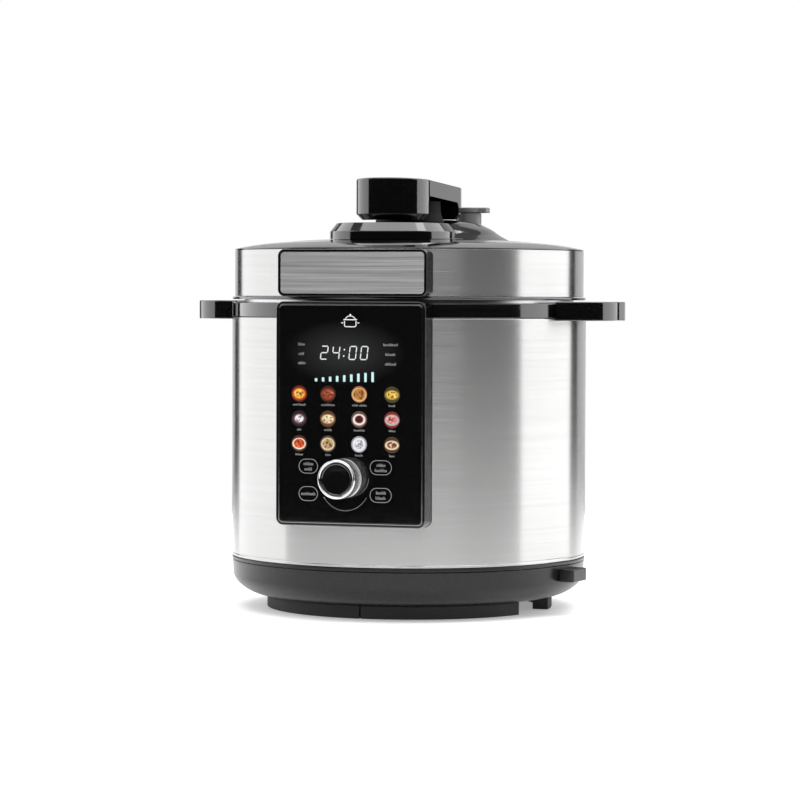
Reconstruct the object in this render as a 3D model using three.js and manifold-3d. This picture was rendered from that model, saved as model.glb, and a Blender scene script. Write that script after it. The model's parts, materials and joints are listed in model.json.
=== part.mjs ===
// An electric pressure cooker of the 6 litre class, with a lid hinged at the back and locked by turning its handle.
// Millimetres. +Z is up, the control panel faces -Y and the object's right side is +X.
// The origin is on the floor, under the middle of the object.
import * as THREE from 'three';
import { mergeVertices } from 'three/addons/utils/BufferGeometryUtils.js';
import Module from 'manifold-3d';

const wasm = await Module();
wasm.setup();

// ---------------------------------------------------------------- driving dimensions
const ROUND = 48;                 // facets of a large turned piece
const INNER_ROUND = 36;           // facets of a piece inside the drum or on the lid
const SMALL_ROUND = 24;           // facets of a small turned piece
const GAP = 0.3;                  // clearance between pieces that touch

const SHELL_R = 135;              // steel drum
const SHELL_Z = [40.1, 220.8];
const FLOOR_Z = 10;               // underside of the base
const RING_R = 134.5;             // black ring on top of the drum
const RING_Z = [221.1, 231.9];

const PANEL_W = 114;              // control panel
const PANEL_Z = [70, 233];
const PANEL_CORNER_R = 5.5;
const PANEL_Y = -138.3;           // its outer face
const PANEL_BACK_Y = -118.5;
const DIAL = { x: -4.8, z: 105, r: 14.6, length: 16.6 };

const LID_R = 133;                // steel band round the lid
const LID_Z = [236.6, 271.3];
const LID_TOP = [                 // black top of the lid: radius, height
  [9.2, 281.2], [75, 279.3], [94, 277.8], [112.5, 276.1], [124.6, 274.2], [131.5, 272.7], [133.1, 271.9],
];
const PLATE = { w: PANEL_W, z: [236.6, 271], y: -135.5 };
const LOCK = { r: 124, wall: 1.6, z: [224, 257.2], lugIn: 119.6, lugZ: 226.5, lugs: 6, lugDeg: 24 };
const HINGE = { y: 144, z: 226, r: 6, pinR: 2.5, boreR: 2.8, armX: 17, bracketX: [17.5, 31] };

const PLINTH = { y: -40.5, r: 47.3, topR: 42, wallZ: 285, topZ: 291.5 };
const DECK = {
  y: 38,
  dome: [                         // radius, height
    [66, 279.8], [58.7, 283.8], [52.7, 288], [46.8, 291], [40.8, 293.4], [30.7, 295.2], [18.2, 295.7], [0, 295.8],
  ],
};
const HANDLE = {
  r: 28.5, straight: 38, frontZ: 293.6, rearZ: 297, topZ: 325.3, slope: 0.04,
  archY: [-41.5, 35], archZ: 310.5, chamfer: 4.5,
};
const NECK_R = 26;
const SPINDLE_R = 8;
const STEAM = { x: 24.5, y: 75 };  // steam valve
const FLOAT = { x: -40, y: 24 };  // float valve

const WELL_R = 115.2;             // inside of the heating well
const POT_R = 112;                // outside of the inner pot
const POT_Z = [66.3, 232.3];
const HEATER = { r: 98, z: [60, 66], hole: 17 };

// ---------------------------------------------------------------- finishes
const finish = (color, roughness, metalness) => new THREE.MeshStandardMaterial({ color, roughness, metalness });
const gloss = finish(0x0b0b0c, 0.12, 0);
const satin = finish(0x333437, 0.5, 0);
const steel = finish(0xb9bbbd, 0.3, 1);
const castAlu = finish(0x8d9093, 0.55, 1);
const pressedAlu = finish(0xa9abad, 0.4, 1);
const silver = finish(0xc9cacc, 0.2, 1);
const silicone = finish(0xd8d6cf, 0.6, 0);
const rubber = finish(0x1a1a1b, 0.85, 0);
const board = finish(0x1d5a3a, 0.6, 0);
const grayPlastic = finish(0x5a5c5f, 0.6, 0);
const clear = finish(0x3a3d40, 0.2, 0);

// ---------------------------------------------------------------- shape helpers
// Positions only, shared vertices merged, empty triangles dropped and faces turned outwards.
function closed(geometry) {
  const bare = new THREE.BufferGeometry();
  bare.setAttribute('position', geometry.getAttribute('position').clone());
  if (geometry.index) bare.setIndex(geometry.index.clone());
  const merged = mergeVertices(bare, 1e-3);
  const p = merged.getAttribute('position');
  const kept = [];
  let volume = 0;
  const [a, b, c] = [new THREE.Vector3(), new THREE.Vector3(), new THREE.Vector3()];
  for (let i = 0; i < merged.index.count; i += 3) {
    const [u, v, w] = [0, 1, 2].map((k) => merged.index.getX(i + k));
    if (u === v || v === w || w === u) continue;
    kept.push([u, v, w]);
    volume += a.fromBufferAttribute(p, u).dot(b.fromBufferAttribute(p, v).cross(c.fromBufferAttribute(p, w)));
  }
  merged.setIndex(kept.flatMap(([u, v, w]) => (volume < 0 ? [u, w, v] : [u, v, w])));
  return merged;
}

function solid(geometry) {
  const g = closed(geometry);
  return new wasm.Manifold(new wasm.Mesh({
    numProp: 3,
    vertProperties: new Float32Array(g.getAttribute('position').array),
    triVerts: new Uint32Array(g.index.array),
  }));
}

function surface(manifold) {
  const mesh = manifold.getMesh();
  const g = new THREE.BufferGeometry();
  g.setAttribute('position', new THREE.BufferAttribute(new Float32Array(mesh.vertProperties), 3));
  g.setIndex(Array.from(mesh.triVerts));
  return g;
}

const cut = (geometry, ...tools) => surface(tools.reduce((s, t) => s.subtract(solid(t)), solid(geometry)));
const join = (...pieces) => surface(pieces.slice(1).reduce((s, t) => s.add(solid(t)), solid(pieces[0])));

// A profile of [radius, height] points turned about the Z axis. A profile off the axis closes on itself.
function turned(profile, facets = ROUND) {
  const points = profile.map(([r, z]) => new THREE.Vector2(r, z));
  const onAxis = profile[0][0] === 0 && profile.at(-1)[0] === 0;
  if (!onAxis) points.push(points[0].clone());
  return closed(new THREE.LatheGeometry(points, facets).rotateX(Math.PI / 2));
}

const disc = (r, z0, z1, facets = SMALL_ROUND) => turned([[0, z0], [r, z0], [r, z1], [0, z1]], facets);
const tube = (r0, r1, z0, z1, facets = ROUND) => turned([[r0, z0], [r1, z0], [r1, z1], [r0, z1]], facets);
const at = (geometry, x, y, z = 0) => geometry.translate(x, y, z);

function box([x0, x1], [y0, y1], [z0, z1]) {
  return new THREE.BoxGeometry(x1 - x0, y1 - y0, z1 - z0)
    .translate((x0 + x1) / 2, (y0 + y1) / 2, (z0 + z1) / 2);
}

// An outline in plan, raised from z0 to z1.
function raised(outline, [z0, z1], curveSegments = 8) {
  return new THREE.ExtrudeGeometry(outline, { depth: z1 - z0, bevelEnabled: false, curveSegments })
    .translate(0, 0, z0);
}

// An outline in front view (x, z), from y0 at the front to y1 at the back.
function fronted(outline, [y0, y1], curveSegments = 5) {
  return new THREE.ExtrudeGeometry(outline, { depth: y1 - y0, bevelEnabled: false, curveSegments })
    .rotateX(Math.PI / 2).translate(0, y1, 0);
}

// An outline in side view (y, z), from x0 to x1.
function sided(points, [x0, x1]) {
  const outline = new THREE.Shape(points.map(([y, z]) => new THREE.Vector2(y, z)));
  return new THREE.ExtrudeGeometry(outline, { depth: x1 - x0, bevelEnabled: false })
    .rotateZ(Math.PI / 2).rotateY(Math.PI / 2).translate(x0, 0, 0);
}

function roundedRect(w, h, r, cx = 0, cy = 0) {
  const [x, y] = [w / 2 - r, h / 2 - r];
  const s = new THREE.Shape();
  s.moveTo(cx + w / 2, cy - y);
  s.absarc(cx + x, cy + y, r, 0, Math.PI / 2);
  s.absarc(cx - x, cy + y, r, Math.PI / 2, Math.PI);
  s.absarc(cx - x, cy - y, r, Math.PI, 1.5 * Math.PI);
  s.absarc(cx + x, cy - y, r, 1.5 * Math.PI, 2 * Math.PI);
  return s;
}

// A sector of a flat ring in plan, between two angles in degrees.
function sector(r0, r1, deg0, deg1) {
  const [a0, a1] = [deg0, deg1].map(THREE.MathUtils.degToRad);
  const s = new THREE.Shape();
  s.absarc(0, 0, r1, a0, a1, false);
  s.absarc(0, 0, r0, a1, a0, true);
  s.closePath();
  return s;
}

const rodX = (r, [x0, x1], y, z) => disc(r, x0, x1).rotateY(Math.PI / 2).translate(0, y, z);
const rodY = (r, x, [y0, y1], z) => disc(r, -y1, -y0).rotateX(Math.PI / 2).translate(x, 0, z);

// Heights sheared by a slope along Y, so a flat face becomes a ramp.
function sloped(geometry, slope) {
  const shear = new THREE.Matrix4().makeShear(0, 0, 0, slope, 0, 0);
  return geometry.applyMatrix4(shear);
}

// ---------------------------------------------------------------- the object
const cooker = new THREE.Group();
const base = new THREE.Group();
const drum = new THREE.Group();
const panel = new THREE.Group();
const dial = new THREE.Group();
const lid = new THREE.Group();
const steamValve = new THREE.Group();
const floatValve = new THREE.Group();
const handle = new THREE.Group();
cooker.add(base, drum, panel, dial, lid);
lid.add(steamValve, floatValve, handle);
dial.position.set(DIAL.x, PANEL_Y, DIAL.z);
dial.rotation.x = Math.PI / 2;
steamValve.position.set(STEAM.x, STEAM.y, 0);
floatValve.position.set(FLOAT.x, FLOAT.y, 0);

function add(group, name, geometry, material) {
  const mesh = new THREE.Mesh(geometry, material);
  mesh.name = name;
  group.add(mesh);
  return mesh;
}

// ---- base
function makeBase() {
  const wall = 2.8;
  const coverR = 40;
  const lipZ = 37.1;
  let housing = turned([
    [coverR, FLOOR_Z], [108.8, FLOOR_Z], [118, 11.5], [124, 14.2], [128.4, 17], [133.8, 23.6], [134.6, lipZ - GAP],
    [134.6 - wall, lipZ - GAP], [131, 25], [120, 15.5], [108, FLOOR_Z + wall],
    [coverR, FLOOR_Z + wall],
  ]);
  const slots = 8;
  for (let i = 0; i < slots; i += 1) {
    const slot = box([52, 88], [-2.5, 2.5], [FLOOR_Z - 2, FLOOR_Z + wall + 1]);
    housing = cut(housing, slot.rotateZ(((i + 0.5) * 2 * Math.PI) / slots));
  }
  add(base, 'base_housing', housing, satin);
  add(base, 'base_lip', tube(134.6 - wall, SHELL_R, lipZ, SHELL_Z[0] - GAP), satin);
  add(base, 'bottom_cover', disc(coverR - GAP - 0.1, FLOOR_Z + 0.2, FLOOR_Z + 2.2, INNER_ROUND), satin);
}

function makeFeet() {
  const top = FLOOR_Z - GAP;
  const front = [96, 108];
  const rear = [98, 110];
  const feet = [
    ['foot_front_left', front, -158, -91.6],
    ['foot_front_right', front, -91, -22],
    ['foot_rear_right', rear, 2, 75],
    ['foot_rear_left', rear, 105, 178],
  ];
  for (const [name, [r0, r1], from, to] of feet) {
    add(base, name, raised(sector(r0, r1, from, to), [0, top]), rubber);
  }
}

// A small lug moulded on the right of the base.
function makeAccessoryLug() {
  const [width, z] = [26, [25, 34.5]];
  const lug = raised(roundedRect(width, 24, 3), z, 3).translate(0, -133, 0);
  lug.rotateZ(THREE.MathUtils.degToRad(80));
  add(base, 'accessory_lug', cut(lug, disc(134.6 + GAP, 0, 60, ROUND)), satin);
}

function makeMainsInlet() {
  const [w, z0, z1] = [30, 45, 69];
  const midZ = (z0 + z1) / 2;
  const [back, faceY] = [120, 136.8];
  const flange = fronted(roundedRect(w + 4, z1 - z0 + 4, 2, 0, midZ), [SHELL_R + GAP, faceY], 3);
  const body = box([-w / 2, w / 2], [back, SHELL_R + 1], [z0, z1]);
  const recessDepth = 16;
  const recess = box([-12, 12], [faceY - recessDepth, faceY + 1], [midZ - 8.5, midZ + 8.5]);
  const pins = [[-7, midZ - 1.5], [7, midZ - 1.5], [0, midZ + 2.5]].map(([x, z]) => (
    box([x - 1, x + 1], [faceY - recessDepth - 1, faceY - 5], [z - 2, z + 2])));
  add(base, 'mains_inlet', join(cut(join(flange, body), recess), ...pins), gloss);
}

// ---- drum
function makeShell() {
  const shell = tube(SHELL_R - 1, SHELL_R, ...SHELL_Z);
  const [z0, z1] = PANEL_Z;
  const window = fronted(
    roundedRect(PANEL_W + 2 * GAP, z1 - z0 + 2 * GAP, PANEL_CORNER_R + GAP, 0, (z0 + z1) / 2), [-150, -100],
  );
  const inletWindow = box([-15 - GAP, 15 + GAP], [100, 150], [45 - GAP, 69 + GAP]);
  add(drum, 'outer_shell', cut(shell, window, inletWindow), steel);
}

function makeTopRing() {
  const [bottom, top] = RING_Z;
  const bore = 128;
  const ledge = { r: 117.4, z: bottom + 2.3 };
  const ring = turned([
    [ledge.r, bottom], [RING_R, bottom], [RING_R, top - 0.8], [RING_R - 0.8, top], [bore + 0.6, top],
    [bore, top - 0.6], [bore, ledge.z], [ledge.r, ledge.z],
  ]);
  const side = PANEL_W / 2 + GAP;
  const notch = cut(box([-side, side], [-150, -100], [bottom - 5, top + 5]), disc(131, 200, 250, ROUND));
  add(drum, 'top_ring', cut(ring, notch), gloss);
}

function makeSideHandles() {
  const z = [219.1, 233.2];
  const [tipX, cornerR, flat] = [167.2, 38, 6];
  const wing = (r) => {
    const s = new THREE.Shape();
    s.moveTo(118, -flat - r);
    s.absarc(tipX - cornerR, -flat, r, -Math.PI / 2, 0);
    s.absarc(tipX - cornerR, flat, r, 0, Math.PI / 2);
    s.lineTo(118, flat + r);
    return s;
  };
  const wall = 3.6;
  const [gripFrom, gripTop] = [139.5, 228.4];
  for (const [name, turn] of [['side_handle_right', 0], ['side_handle_left', Math.PI]]) {
    const grip = cut(raised(wing(cornerR - wall), [z[0] - 2, gripTop], 6), box([0, gripFrom], [-80, 80], [200, 250]));
    const wingSolid = cut(raised(wing(cornerR), z, 8), disc(SHELL_R + GAP, 200, 250, ROUND), grip);
    add(drum, name, wingSolid.rotateZ(turn), gloss);
  }
}

// ---- heating well and what is under it
function makeWell() {
  const wall = 1;
  const floor = [58, 59.5];
  const flange = [228.5, 230.5];
  const well = turned([
    [82, floor[0]], [WELL_R + wall, floor[0]], [WELL_R + wall, flange[0]], [118, flange[0]],
    [118, flange[1]], [WELL_R, flange[1]], [WELL_R, floor[1]], [82, floor[1]],
  ]);
  const lugs = [];
  for (let i = 0; i < LOCK.lugs; i += 1) {
    const middle = (i * 360) / LOCK.lugs;
    lugs.push(raised(sector(117, LOCK.r - 0.6, middle - LOCK.lugDeg / 2, middle + LOCK.lugDeg / 2), flange, 4));
  }
  add(drum, 'heating_well', join(well, ...lugs), pressedAlu);
}

function makeHeater() {
  const [z0, z1] = HEATER.z;
  add(drum, 'heating_plate', turned([
    [HEATER.hole, z0], [HEATER.r, z0], [HEATER.r, z1 - 1], [70, z1], [HEATER.hole, z1],
  ], INNER_ROUND), castAlu);
  const element = new THREE.TorusGeometry(72, 3.8, 6, 24).translate(0, 0, z0 - 4.2);
  add(drum, 'heating_element', closed(element), castAlu);
}

function makeSensor() {
  const [plateZ, holeR] = [44, 5.6];
  const bracket = join(
    box([-34, 34], [-7, 7], [plateZ, plateZ + 1.5]),
    box([32.5, 34], [-7, 7], [plateZ, HEATER.z[0] - GAP]),
    box([-34, -32.5], [-7, 7], [plateZ, HEATER.z[0] - GAP]),
  );
  add(drum, 'sensor_bracket', cut(bracket, disc(holeR, 40, 50)), pressedAlu);
  add(drum, 'temperature_sensor', turned([
    [0, 40], [5, 40], [5, 62.4], [15.5, 62.4], [15.5, 65.4], [14.9, 66], [0, 66],
  ], SMALL_ROUND), pressedAlu);

  const [coilR, wireR, z0, z1, turns] = [8.5, 0.8, plateZ + 2.9, 61.3, 4];
  const stepsPerTurn = 8;
  const points = Array.from({ length: turns * stepsPerTurn + 1 }, (_, i) => {
    const a = (i / stepsPerTurn) * 2 * Math.PI;
    return new THREE.Vector3(coilR * Math.cos(a), coilR * Math.sin(a), z0 + ((z1 - z0) * i) / (turns * stepsPerTurn));
  });
  const wire = new THREE.Shape().absarc(0, 0, wireR, 0, 2 * Math.PI);
  add(drum, 'sensor_spring', closed(new THREE.ExtrudeGeometry(wire, {
    steps: turns * stepsPerTurn, curveSegments: 3, bevelEnabled: false,
    extrudePath: new THREE.CatmullRomCurve3(points),
  })), steel);
}

function makeElectrics() {
  add(drum, 'pressure_switch', join(
    box([-54, -40], [-8, 8], [40, 54]), box([-50, -44], [-3, 3], [53, HEATER.z[0] - GAP]),
  ), grayPlastic);
  add(drum, 'thermal_fuse', rodX(3, [-12, 12], 40, 55), silicone);
  const posts = [[-41, 44], [41, 44], [-41, 91], [41, 91]].map(([x, y]) => at(disc(3, 13.1, 16, 12), x, y));
  add(base, 'power_board', join(
    box([-45, 45], [40, 95], [15, 16.6]),
    box([-38, -12], [48, 74], [16, 40]),
    box([0, 18], [50, 64], [16, 32]),
    at(disc(8, 16, 36, 16), 32, 60),
    ...posts,
  ), board);
}

function makePot() {
  const [bottom, rim] = POT_Z;
  const wall = 1.5;
  add(drum, 'inner_pot', turned([
    [0, bottom], [101, bottom], [108.8, bottom + 3.6], [POT_R, bottom + 11],
    [POT_R, rim - 1.5], [117, rim - 1.5], [117, rim], [POT_R, rim],
    [POT_R - wall, rim - 1.5], [POT_R - wall, bottom + 11], [107.6, bottom + 5.2], [101, bottom + 2],
    [0, bottom + 2],
  ], INNER_ROUND), pressedAlu);
}

// ---- control panel
function makePanel() {
  const [z0, z1] = PANEL_Z;
  const [midZ, height] = [(z0 + z1) / 2, z1 - z0];
  const [border, trimW] = [1.5, 0.9];
  const trimY = [PANEL_Y, PANEL_Y + 1.2];
  const inset = (d) => roundedRect(PANEL_W - 2 * d, height - 2 * d, PANEL_CORNER_R - d, 0, midZ);
  const shaftHole = rodY(4.2, DIAL.x, [-150, -110], DIAL.z);

  const housing = cut(
    fronted(inset(0), [PANEL_Y, PANEL_BACK_Y]),
    fronted(inset(border), [PANEL_Y - 1, trimY[1] + GAP]),
    box([-54.5, 54.5], [-134.6, -110], [z0 + 4, 216]),
    disc(131 + GAP, 219.5, 250, ROUND),
    box([-23.5, 15.5], [-150, -110], [184.5, 207.5]),
    shaftHole,
  );
  add(panel, 'panel_housing', housing, gloss);
  add(panel, 'panel_trim', cut(
    fronted(inset(border + GAP), trimY), fronted(inset(border + GAP + trimW), [PANEL_Y - 1, -130]),
  ), silver);
  add(panel, 'panel_fascia', cut(fronted(inset(border + 2 * GAP + trimW), trimY), shaftHole), gloss);

  add(panel, 'display_module', box([-23, 15], [-136.5, -124.6], [185, 207]), clear);
  add(panel, 'control_board', box([-48, 48], [-124.2, -122.6], [82, 212]), board);
  add(panel, 'dial_encoder', cut(
    box([DIAL.x - 7, DIAL.x + 7], [-134.2, -124.6], [DIAL.z - 7, DIAL.z + 7]),
    rodY(3.4, DIAL.x, [-150, -127.5], DIAL.z),
  ), grayPlastic);
}

// The dial's own axis is local +Z, which points out of the panel.
function makeDial() {
  const { r, length } = DIAL;
  const [shaftR, boreR, boreEnd] = [3, 3.3, 12.6];
  const [recessR, recessZ] = [12.4, length - 1.7];
  add(dial, 'dial_knob', turned([
    [0, recessZ], [recessR, recessZ], [recessR, length], [r - 0.9, length], [r, length - 1], [r, 1.2],
    [r - 0.6, 0.6], [boreR, 0.6], [boreR, boreEnd], [0, boreEnd],
  ], 32), silver);
  add(dial, 'dial_cap', disc(recessR - GAP, recessZ + GAP, length - 0.4, 32), gloss);
  add(dial, 'dial_shaft', disc(shaftR, -10.3, boreEnd - GAP, 16), castAlu);
}

// ---- hinge and condensate cup at the back
function makeHinge() {
  const { y, z, r, pinR, boreR, bracketX: [x0, x1] } = HINGE;
  const bore = () => rodX(boreR, [-60, 60], y, z);
  const plate = cut(box([-x1, x1], [120, 137.4], [205, 231]), disc(SHELL_R + GAP, 190, 250, ROUND));
  const ears = [[x0, x1], [-x1, -x0]].flatMap((span) => [
    sided([[136, 208], [140, 210], [y + r, z - 3], [y + r, z], [y, z + r], [137, 231]], span),
    rodX(r, span, y, z),
  ]);
  add(drum, 'hinge_bracket', cut(join(plate, ...ears), bore()), gloss);
  add(drum, 'hinge_pin', rodX(pinR, [-x1, x1], y, z), steel);

  const armX = [-HINGE.armX, HINGE.armX];
  const arm = join(
    sided([[131, 239], [138.4, 233], [138.4, z], [y + r, z], [y + r - 0.5, 232], [140.5, 262], [136.5, 269],
      [131, 269]], armX),
    rodX(r, armX, y, z),
  );
  add(lid, 'hinge_arm', cut(
    arm, bore(),
    disc(SHELL_R + GAP, 200, LID_Z[0], ROUND),
    disc(LID_R + GAP + 0.1, LID_Z[0] - 1, 290, ROUND),
  ), gloss);
}

function makeCondensateCup() {
  const spout = box([-14, 14], [130, 143], [201, 203.5]);
  const mount = join(box([-20, 20], [120, 137], [168, 203.5]), spout);
  add(drum, 'cup_mount', cut(mount, disc(SHELL_R + GAP, 150, 220, ROUND)), gloss);
  const [y0, y1] = [137.4, 155.2];
  const [midY, depth, wall] = [(y0 + y1) / 2, y1 - y0, 1.8];
  add(drum, 'condensate_cup', cut(
    raised(roundedRect(52, depth, 4, 0, midY), [164, 200], 4),
    raised(roundedRect(52 - 2 * wall, depth - 2 * wall, 4 - wall, 0, midY), [166, 201], 4),
  ), clear);
}

// ---- lid
// Everything under the lid's black top, with clearance, as a cutter for what stands on it.
const underLidTop = () => turned([
  [0, 150], [150, 150], [150, LID_TOP.at(-1)[1]], ...[...LID_TOP].reverse().map(([r, z]) => [r, z + GAP]),
  [0, LID_TOP[0][1] + GAP],
]);

function makeLidShell() {
  const skirt = { out: LID_R - 1.1, in: 129.6, z: LID_Z[0] };
  const thick = 2.9;
  const inside = [LID_TOP[3], LID_TOP[1], LID_TOP[0]].map(([r, z]) => [r, z - thick]);
  add(lid, 'lid_cover', cut(
    turned([
      ...LID_TOP, [133.1, LID_Z[1] + GAP], [skirt.out, LID_Z[1] + GAP], [skirt.out, skirt.z],
      [skirt.in, skirt.z], [skirt.in, 270], ...inside,
    ]),
    at(disc(5.5, 250, 300), STEAM.x, STEAM.y),
    at(disc(4.2, 250, 300), FLOAT.x, FLOAT.y),
  ), gloss);
  add(lid, 'lid_band', tube(LID_R - 0.8, LID_R, ...LID_Z), steel);
  add(lid, 'lid_rim', tube(126.4, SHELL_R, 234.2, LID_Z[0] - GAP), gloss);
}

function makeLidPlate() {
  const { w, z: [z0, z1], y } = PLATE;
  const midZ = (z0 + z1) / 2;
  const [border, depth] = [1.8, 1.1];
  const outline = (d) => roundedRect(w - 2 * d, z1 - z0 - 2 * d, 5 - d, 0, midZ);
  add(lid, 'lid_plate_bezel', cut(
    fronted(outline(0), [y, -118]), disc(LID_R + GAP, 200, 300, ROUND), fronted(outline(border), [y - 1, y + depth]),
  ), gloss);
  add(lid, 'lid_plate', fronted(outline(border + GAP), [y + 0.2, y + depth - GAP]), steel);
}

function makePressureLid() {
  add(lid, 'pressure_lid', cut(
    turned([
      [0, 241.2], [60, 240.4], [119, 237.9], [119, 239.2], [60, 242.2], [0, 243],
    ], INNER_ROUND),
    at(disc(2.5, 230, 250, 12), STEAM.x, STEAM.y),
    at(disc(3.6, 230, 250, 12), FLOAT.x, FLOAT.y),
  ), pressedAlu);
  add(lid, 'gasket', turned([
    [111, 232.7], [118.8, 232.7], [118.8, 237.5], [110, 237.5], [110, 236.3], [115.6, 236.3],
    [115.6, 233.9], [111, 233.9],
  ], INNER_ROUND), silicone);
  add(lid, 'gasket_rack', closed(new THREE.TorusGeometry(112.6, 0.8, 4, 24).translate(0, 0, 235.2)), steel);
  add(lid, 'steam_filter', at(turned([
    [0, 227], [10.5, 227], [11, 228], [11, 239], [9.6, 239], [9.6, 228.4], [0, 228.4],
  ], SMALL_ROUND), STEAM.x, STEAM.y), pressedAlu);
  add(lid, 'steam_pipe', at(tube(2.2, 4.6, 241.8, 296, SMALL_ROUND), STEAM.x, STEAM.y), steel);
}

function makePlinthAndDeck() {
  const { r, topR, wallZ, topZ } = PLINTH;
  const plinthForm = (d) => at(turned([
    [0, 262], [r + d, 262], [r + d, wallZ], [topR + d, topZ + d], [0, topZ + d],
  ], INNER_ROUND), 0, PLINTH.y);
  const spindleBore = () => disc(SPINDLE_R + 1.2, 250, 320);
  add(lid, 'lid_plinth', cut(plinthForm(0), underLidTop(), spindleBore()), gloss);

  const deck = at(turned([[0, 262], [DECK.dome[0][0], 262], ...DECK.dome], INNER_ROUND), 0, DECK.y);
  add(lid, 'lid_deck', cut(
    deck, underLidTop(), plinthForm(GAP), spindleBore(),
    disc(NECK_R + 2, 291.3, 330, INNER_ROUND),
    at(disc(11, 286.3, 330), STEAM.x, STEAM.y),
    at(disc(5.4, 250, 330, 16), STEAM.x, STEAM.y),
    at(disc(4.2, 250, 330, 16), FLOAT.x, FLOAT.y),
    at(disc(8, 290.6, 330), FLOAT.x, FLOAT.y),
  ), gloss);
}

// ---- valves, each about its own axis
function makeSteamValve() {
  add(steamValve, 'steam_valve_body', turned([
    [0, 299.8], [5.2, 299.8], [5.2, 286.8], [9.2, 286.8], [10, 287.6], [10, 301.9], [0, 301.9],
  ], SMALL_ROUND), grayPlastic);
  const [capR, tabX, tabHalf] = [10.6, 16, 5.6];
  const a = Math.asin(tabHalf / capR);
  const outline = new THREE.Shape();
  outline.absarc(0, 0, capR, a, 2 * Math.PI - a);
  outline.lineTo(tabX - 1, -tabHalf);
  outline.lineTo(tabX, 1 - tabHalf);
  outline.lineTo(tabX, tabHalf - 1);
  outline.lineTo(tabX - 1, tabHalf);
  add(steamValve, 'steam_valve_cap', raised(outline, [302.2, 306.4], 12), grayPlastic);
}

function makeFloatValve() {
  add(floatValve, 'float_valve', turned([
    [0, 233.4], [5.5, 233.4], [5.5, 235], [3, 235], [3, 291.8], [0, 291.8],
  ], 16), steel);
  add(floatValve, 'float_seal', tube(3.3, 5.2, 235.3, 236.4, 16), silicone);
}

// ---- handle, spindle and lock ring, which turn together
function makeHandle() {
  const { r, straight, frontZ, rearZ, topZ, slope, archY, archZ, chamfer } = HANDLE;
  const outline = new THREE.Shape();
  const inset = r - chamfer;
  outline.absarc(0, straight, inset, 0, Math.PI);
  outline.absarc(0, -straight, inset, Math.PI, 2 * Math.PI);
  outline.closePath();
  const length = 2 * (r + straight);
  const rise = (rearZ - frontZ) / length;
  const bar = new THREE.ExtrudeGeometry(outline, {
    depth: 40, bevelThickness: chamfer, bevelSize: chamfer, bevelSegments: 1, curveSegments: 12,
  }).translate(0, 0, frontZ + chamfer + rise * (length / 2));
  const above = sloped(box([-60, 60], [-90, 90], [0, 80]), -slope).translate(0, 0, topZ - slope * (length / 2));
  const arch = sloped(box([-60, 60], archY, [-60, 0]), -slope).translate(0, 0, archZ);
  add(handle, 'handle_grip', cut(sloped(bar, rise), above, arch), gloss);

  const neckTop = archZ - slope * NECK_R - GAP;
  add(handle, 'handle_neck', turned([
    [SPINDLE_R + GAP, 291.9], [NECK_R, 291.9], [NECK_R, 294], [NECK_R - 2, 300], [NECK_R - 2.5, neckTop],
    [SPINDLE_R + GAP, neckTop],
  ], SMALL_ROUND), satin);
  add(handle, 'handle_spindle', turned([
    [0, LOCK.z[1] + 0.4], [13.6, LOCK.z[1] + 0.4], [13.6, 262], [SPINDLE_R, 262], [SPINDLE_R, neckTop], [0, neckTop],
  ], SMALL_ROUND), castAlu);

  const barZ = [LOCK.z[1] - 3.6, LOCK.z[1]];
  add(handle, 'lock_drive_bar', join(
    box([-8, 8], [1 - LOCK.r, LOCK.r - 1], barZ), disc(14, ...barZ),
  ), pressedAlu);
  const lugs = [];
  for (let i = 0; i < LOCK.lugs; i += 1) {
    const middle = ((i + 0.5) * 360) / LOCK.lugs;
    const half = LOCK.lugDeg / 2;
    lugs.push(raised(sector(LOCK.lugIn, LOCK.r + 0.8, middle - half, middle + half), [LOCK.z[0], LOCK.lugZ], 4));
  }
  add(handle, 'lock_ring', join(tube(LOCK.r, LOCK.r + LOCK.wall, ...LOCK.z), ...lugs), pressedAlu);
}

makeBase();
makeFeet();
makeAccessoryLug();
makeMainsInlet();
makeShell();
makeTopRing();
makeSideHandles();
makeWell();
makeHeater();
makeSensor();
makeElectrics();
makePot();
makePanel();
makeDial();
makeHinge();
makeCondensateCup();
makeLidShell();
makeLidPlate();
makePressureLid();
makePlinthAndDeck();
makeSteamValve();
makeFloatValve();
makeHandle();

export default cooker;
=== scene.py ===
"""An electric pressure cooker: its smooth shells, printed panel and finishes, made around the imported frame.

Lengths are millimetres in the row frame: +Z is up, the panel faces -Y and the object's right side is +X.
They become metres where a mesh is made.
"""

import json
import math
import random

import bmesh
import bpy
from mathutils import Matrix, Vector


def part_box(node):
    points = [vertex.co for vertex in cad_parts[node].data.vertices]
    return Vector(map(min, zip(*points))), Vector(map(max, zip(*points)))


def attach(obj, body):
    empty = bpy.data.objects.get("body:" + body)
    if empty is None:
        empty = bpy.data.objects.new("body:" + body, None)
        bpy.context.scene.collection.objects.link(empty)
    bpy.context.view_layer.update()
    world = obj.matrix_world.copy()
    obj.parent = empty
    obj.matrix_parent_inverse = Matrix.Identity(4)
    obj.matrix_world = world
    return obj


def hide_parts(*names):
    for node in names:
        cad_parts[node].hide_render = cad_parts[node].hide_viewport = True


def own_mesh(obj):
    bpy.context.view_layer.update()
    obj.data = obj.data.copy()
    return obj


MM = 0.001
TAU = 2 * math.pi
FINE_ROUND = 256  # facets of a turned piece that mirrors the studio
ROUND = 192  # of another large one
SMALL_ROUND = 96  # of a small one
GAP = 0.3  # clearance between pieces that touch

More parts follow.
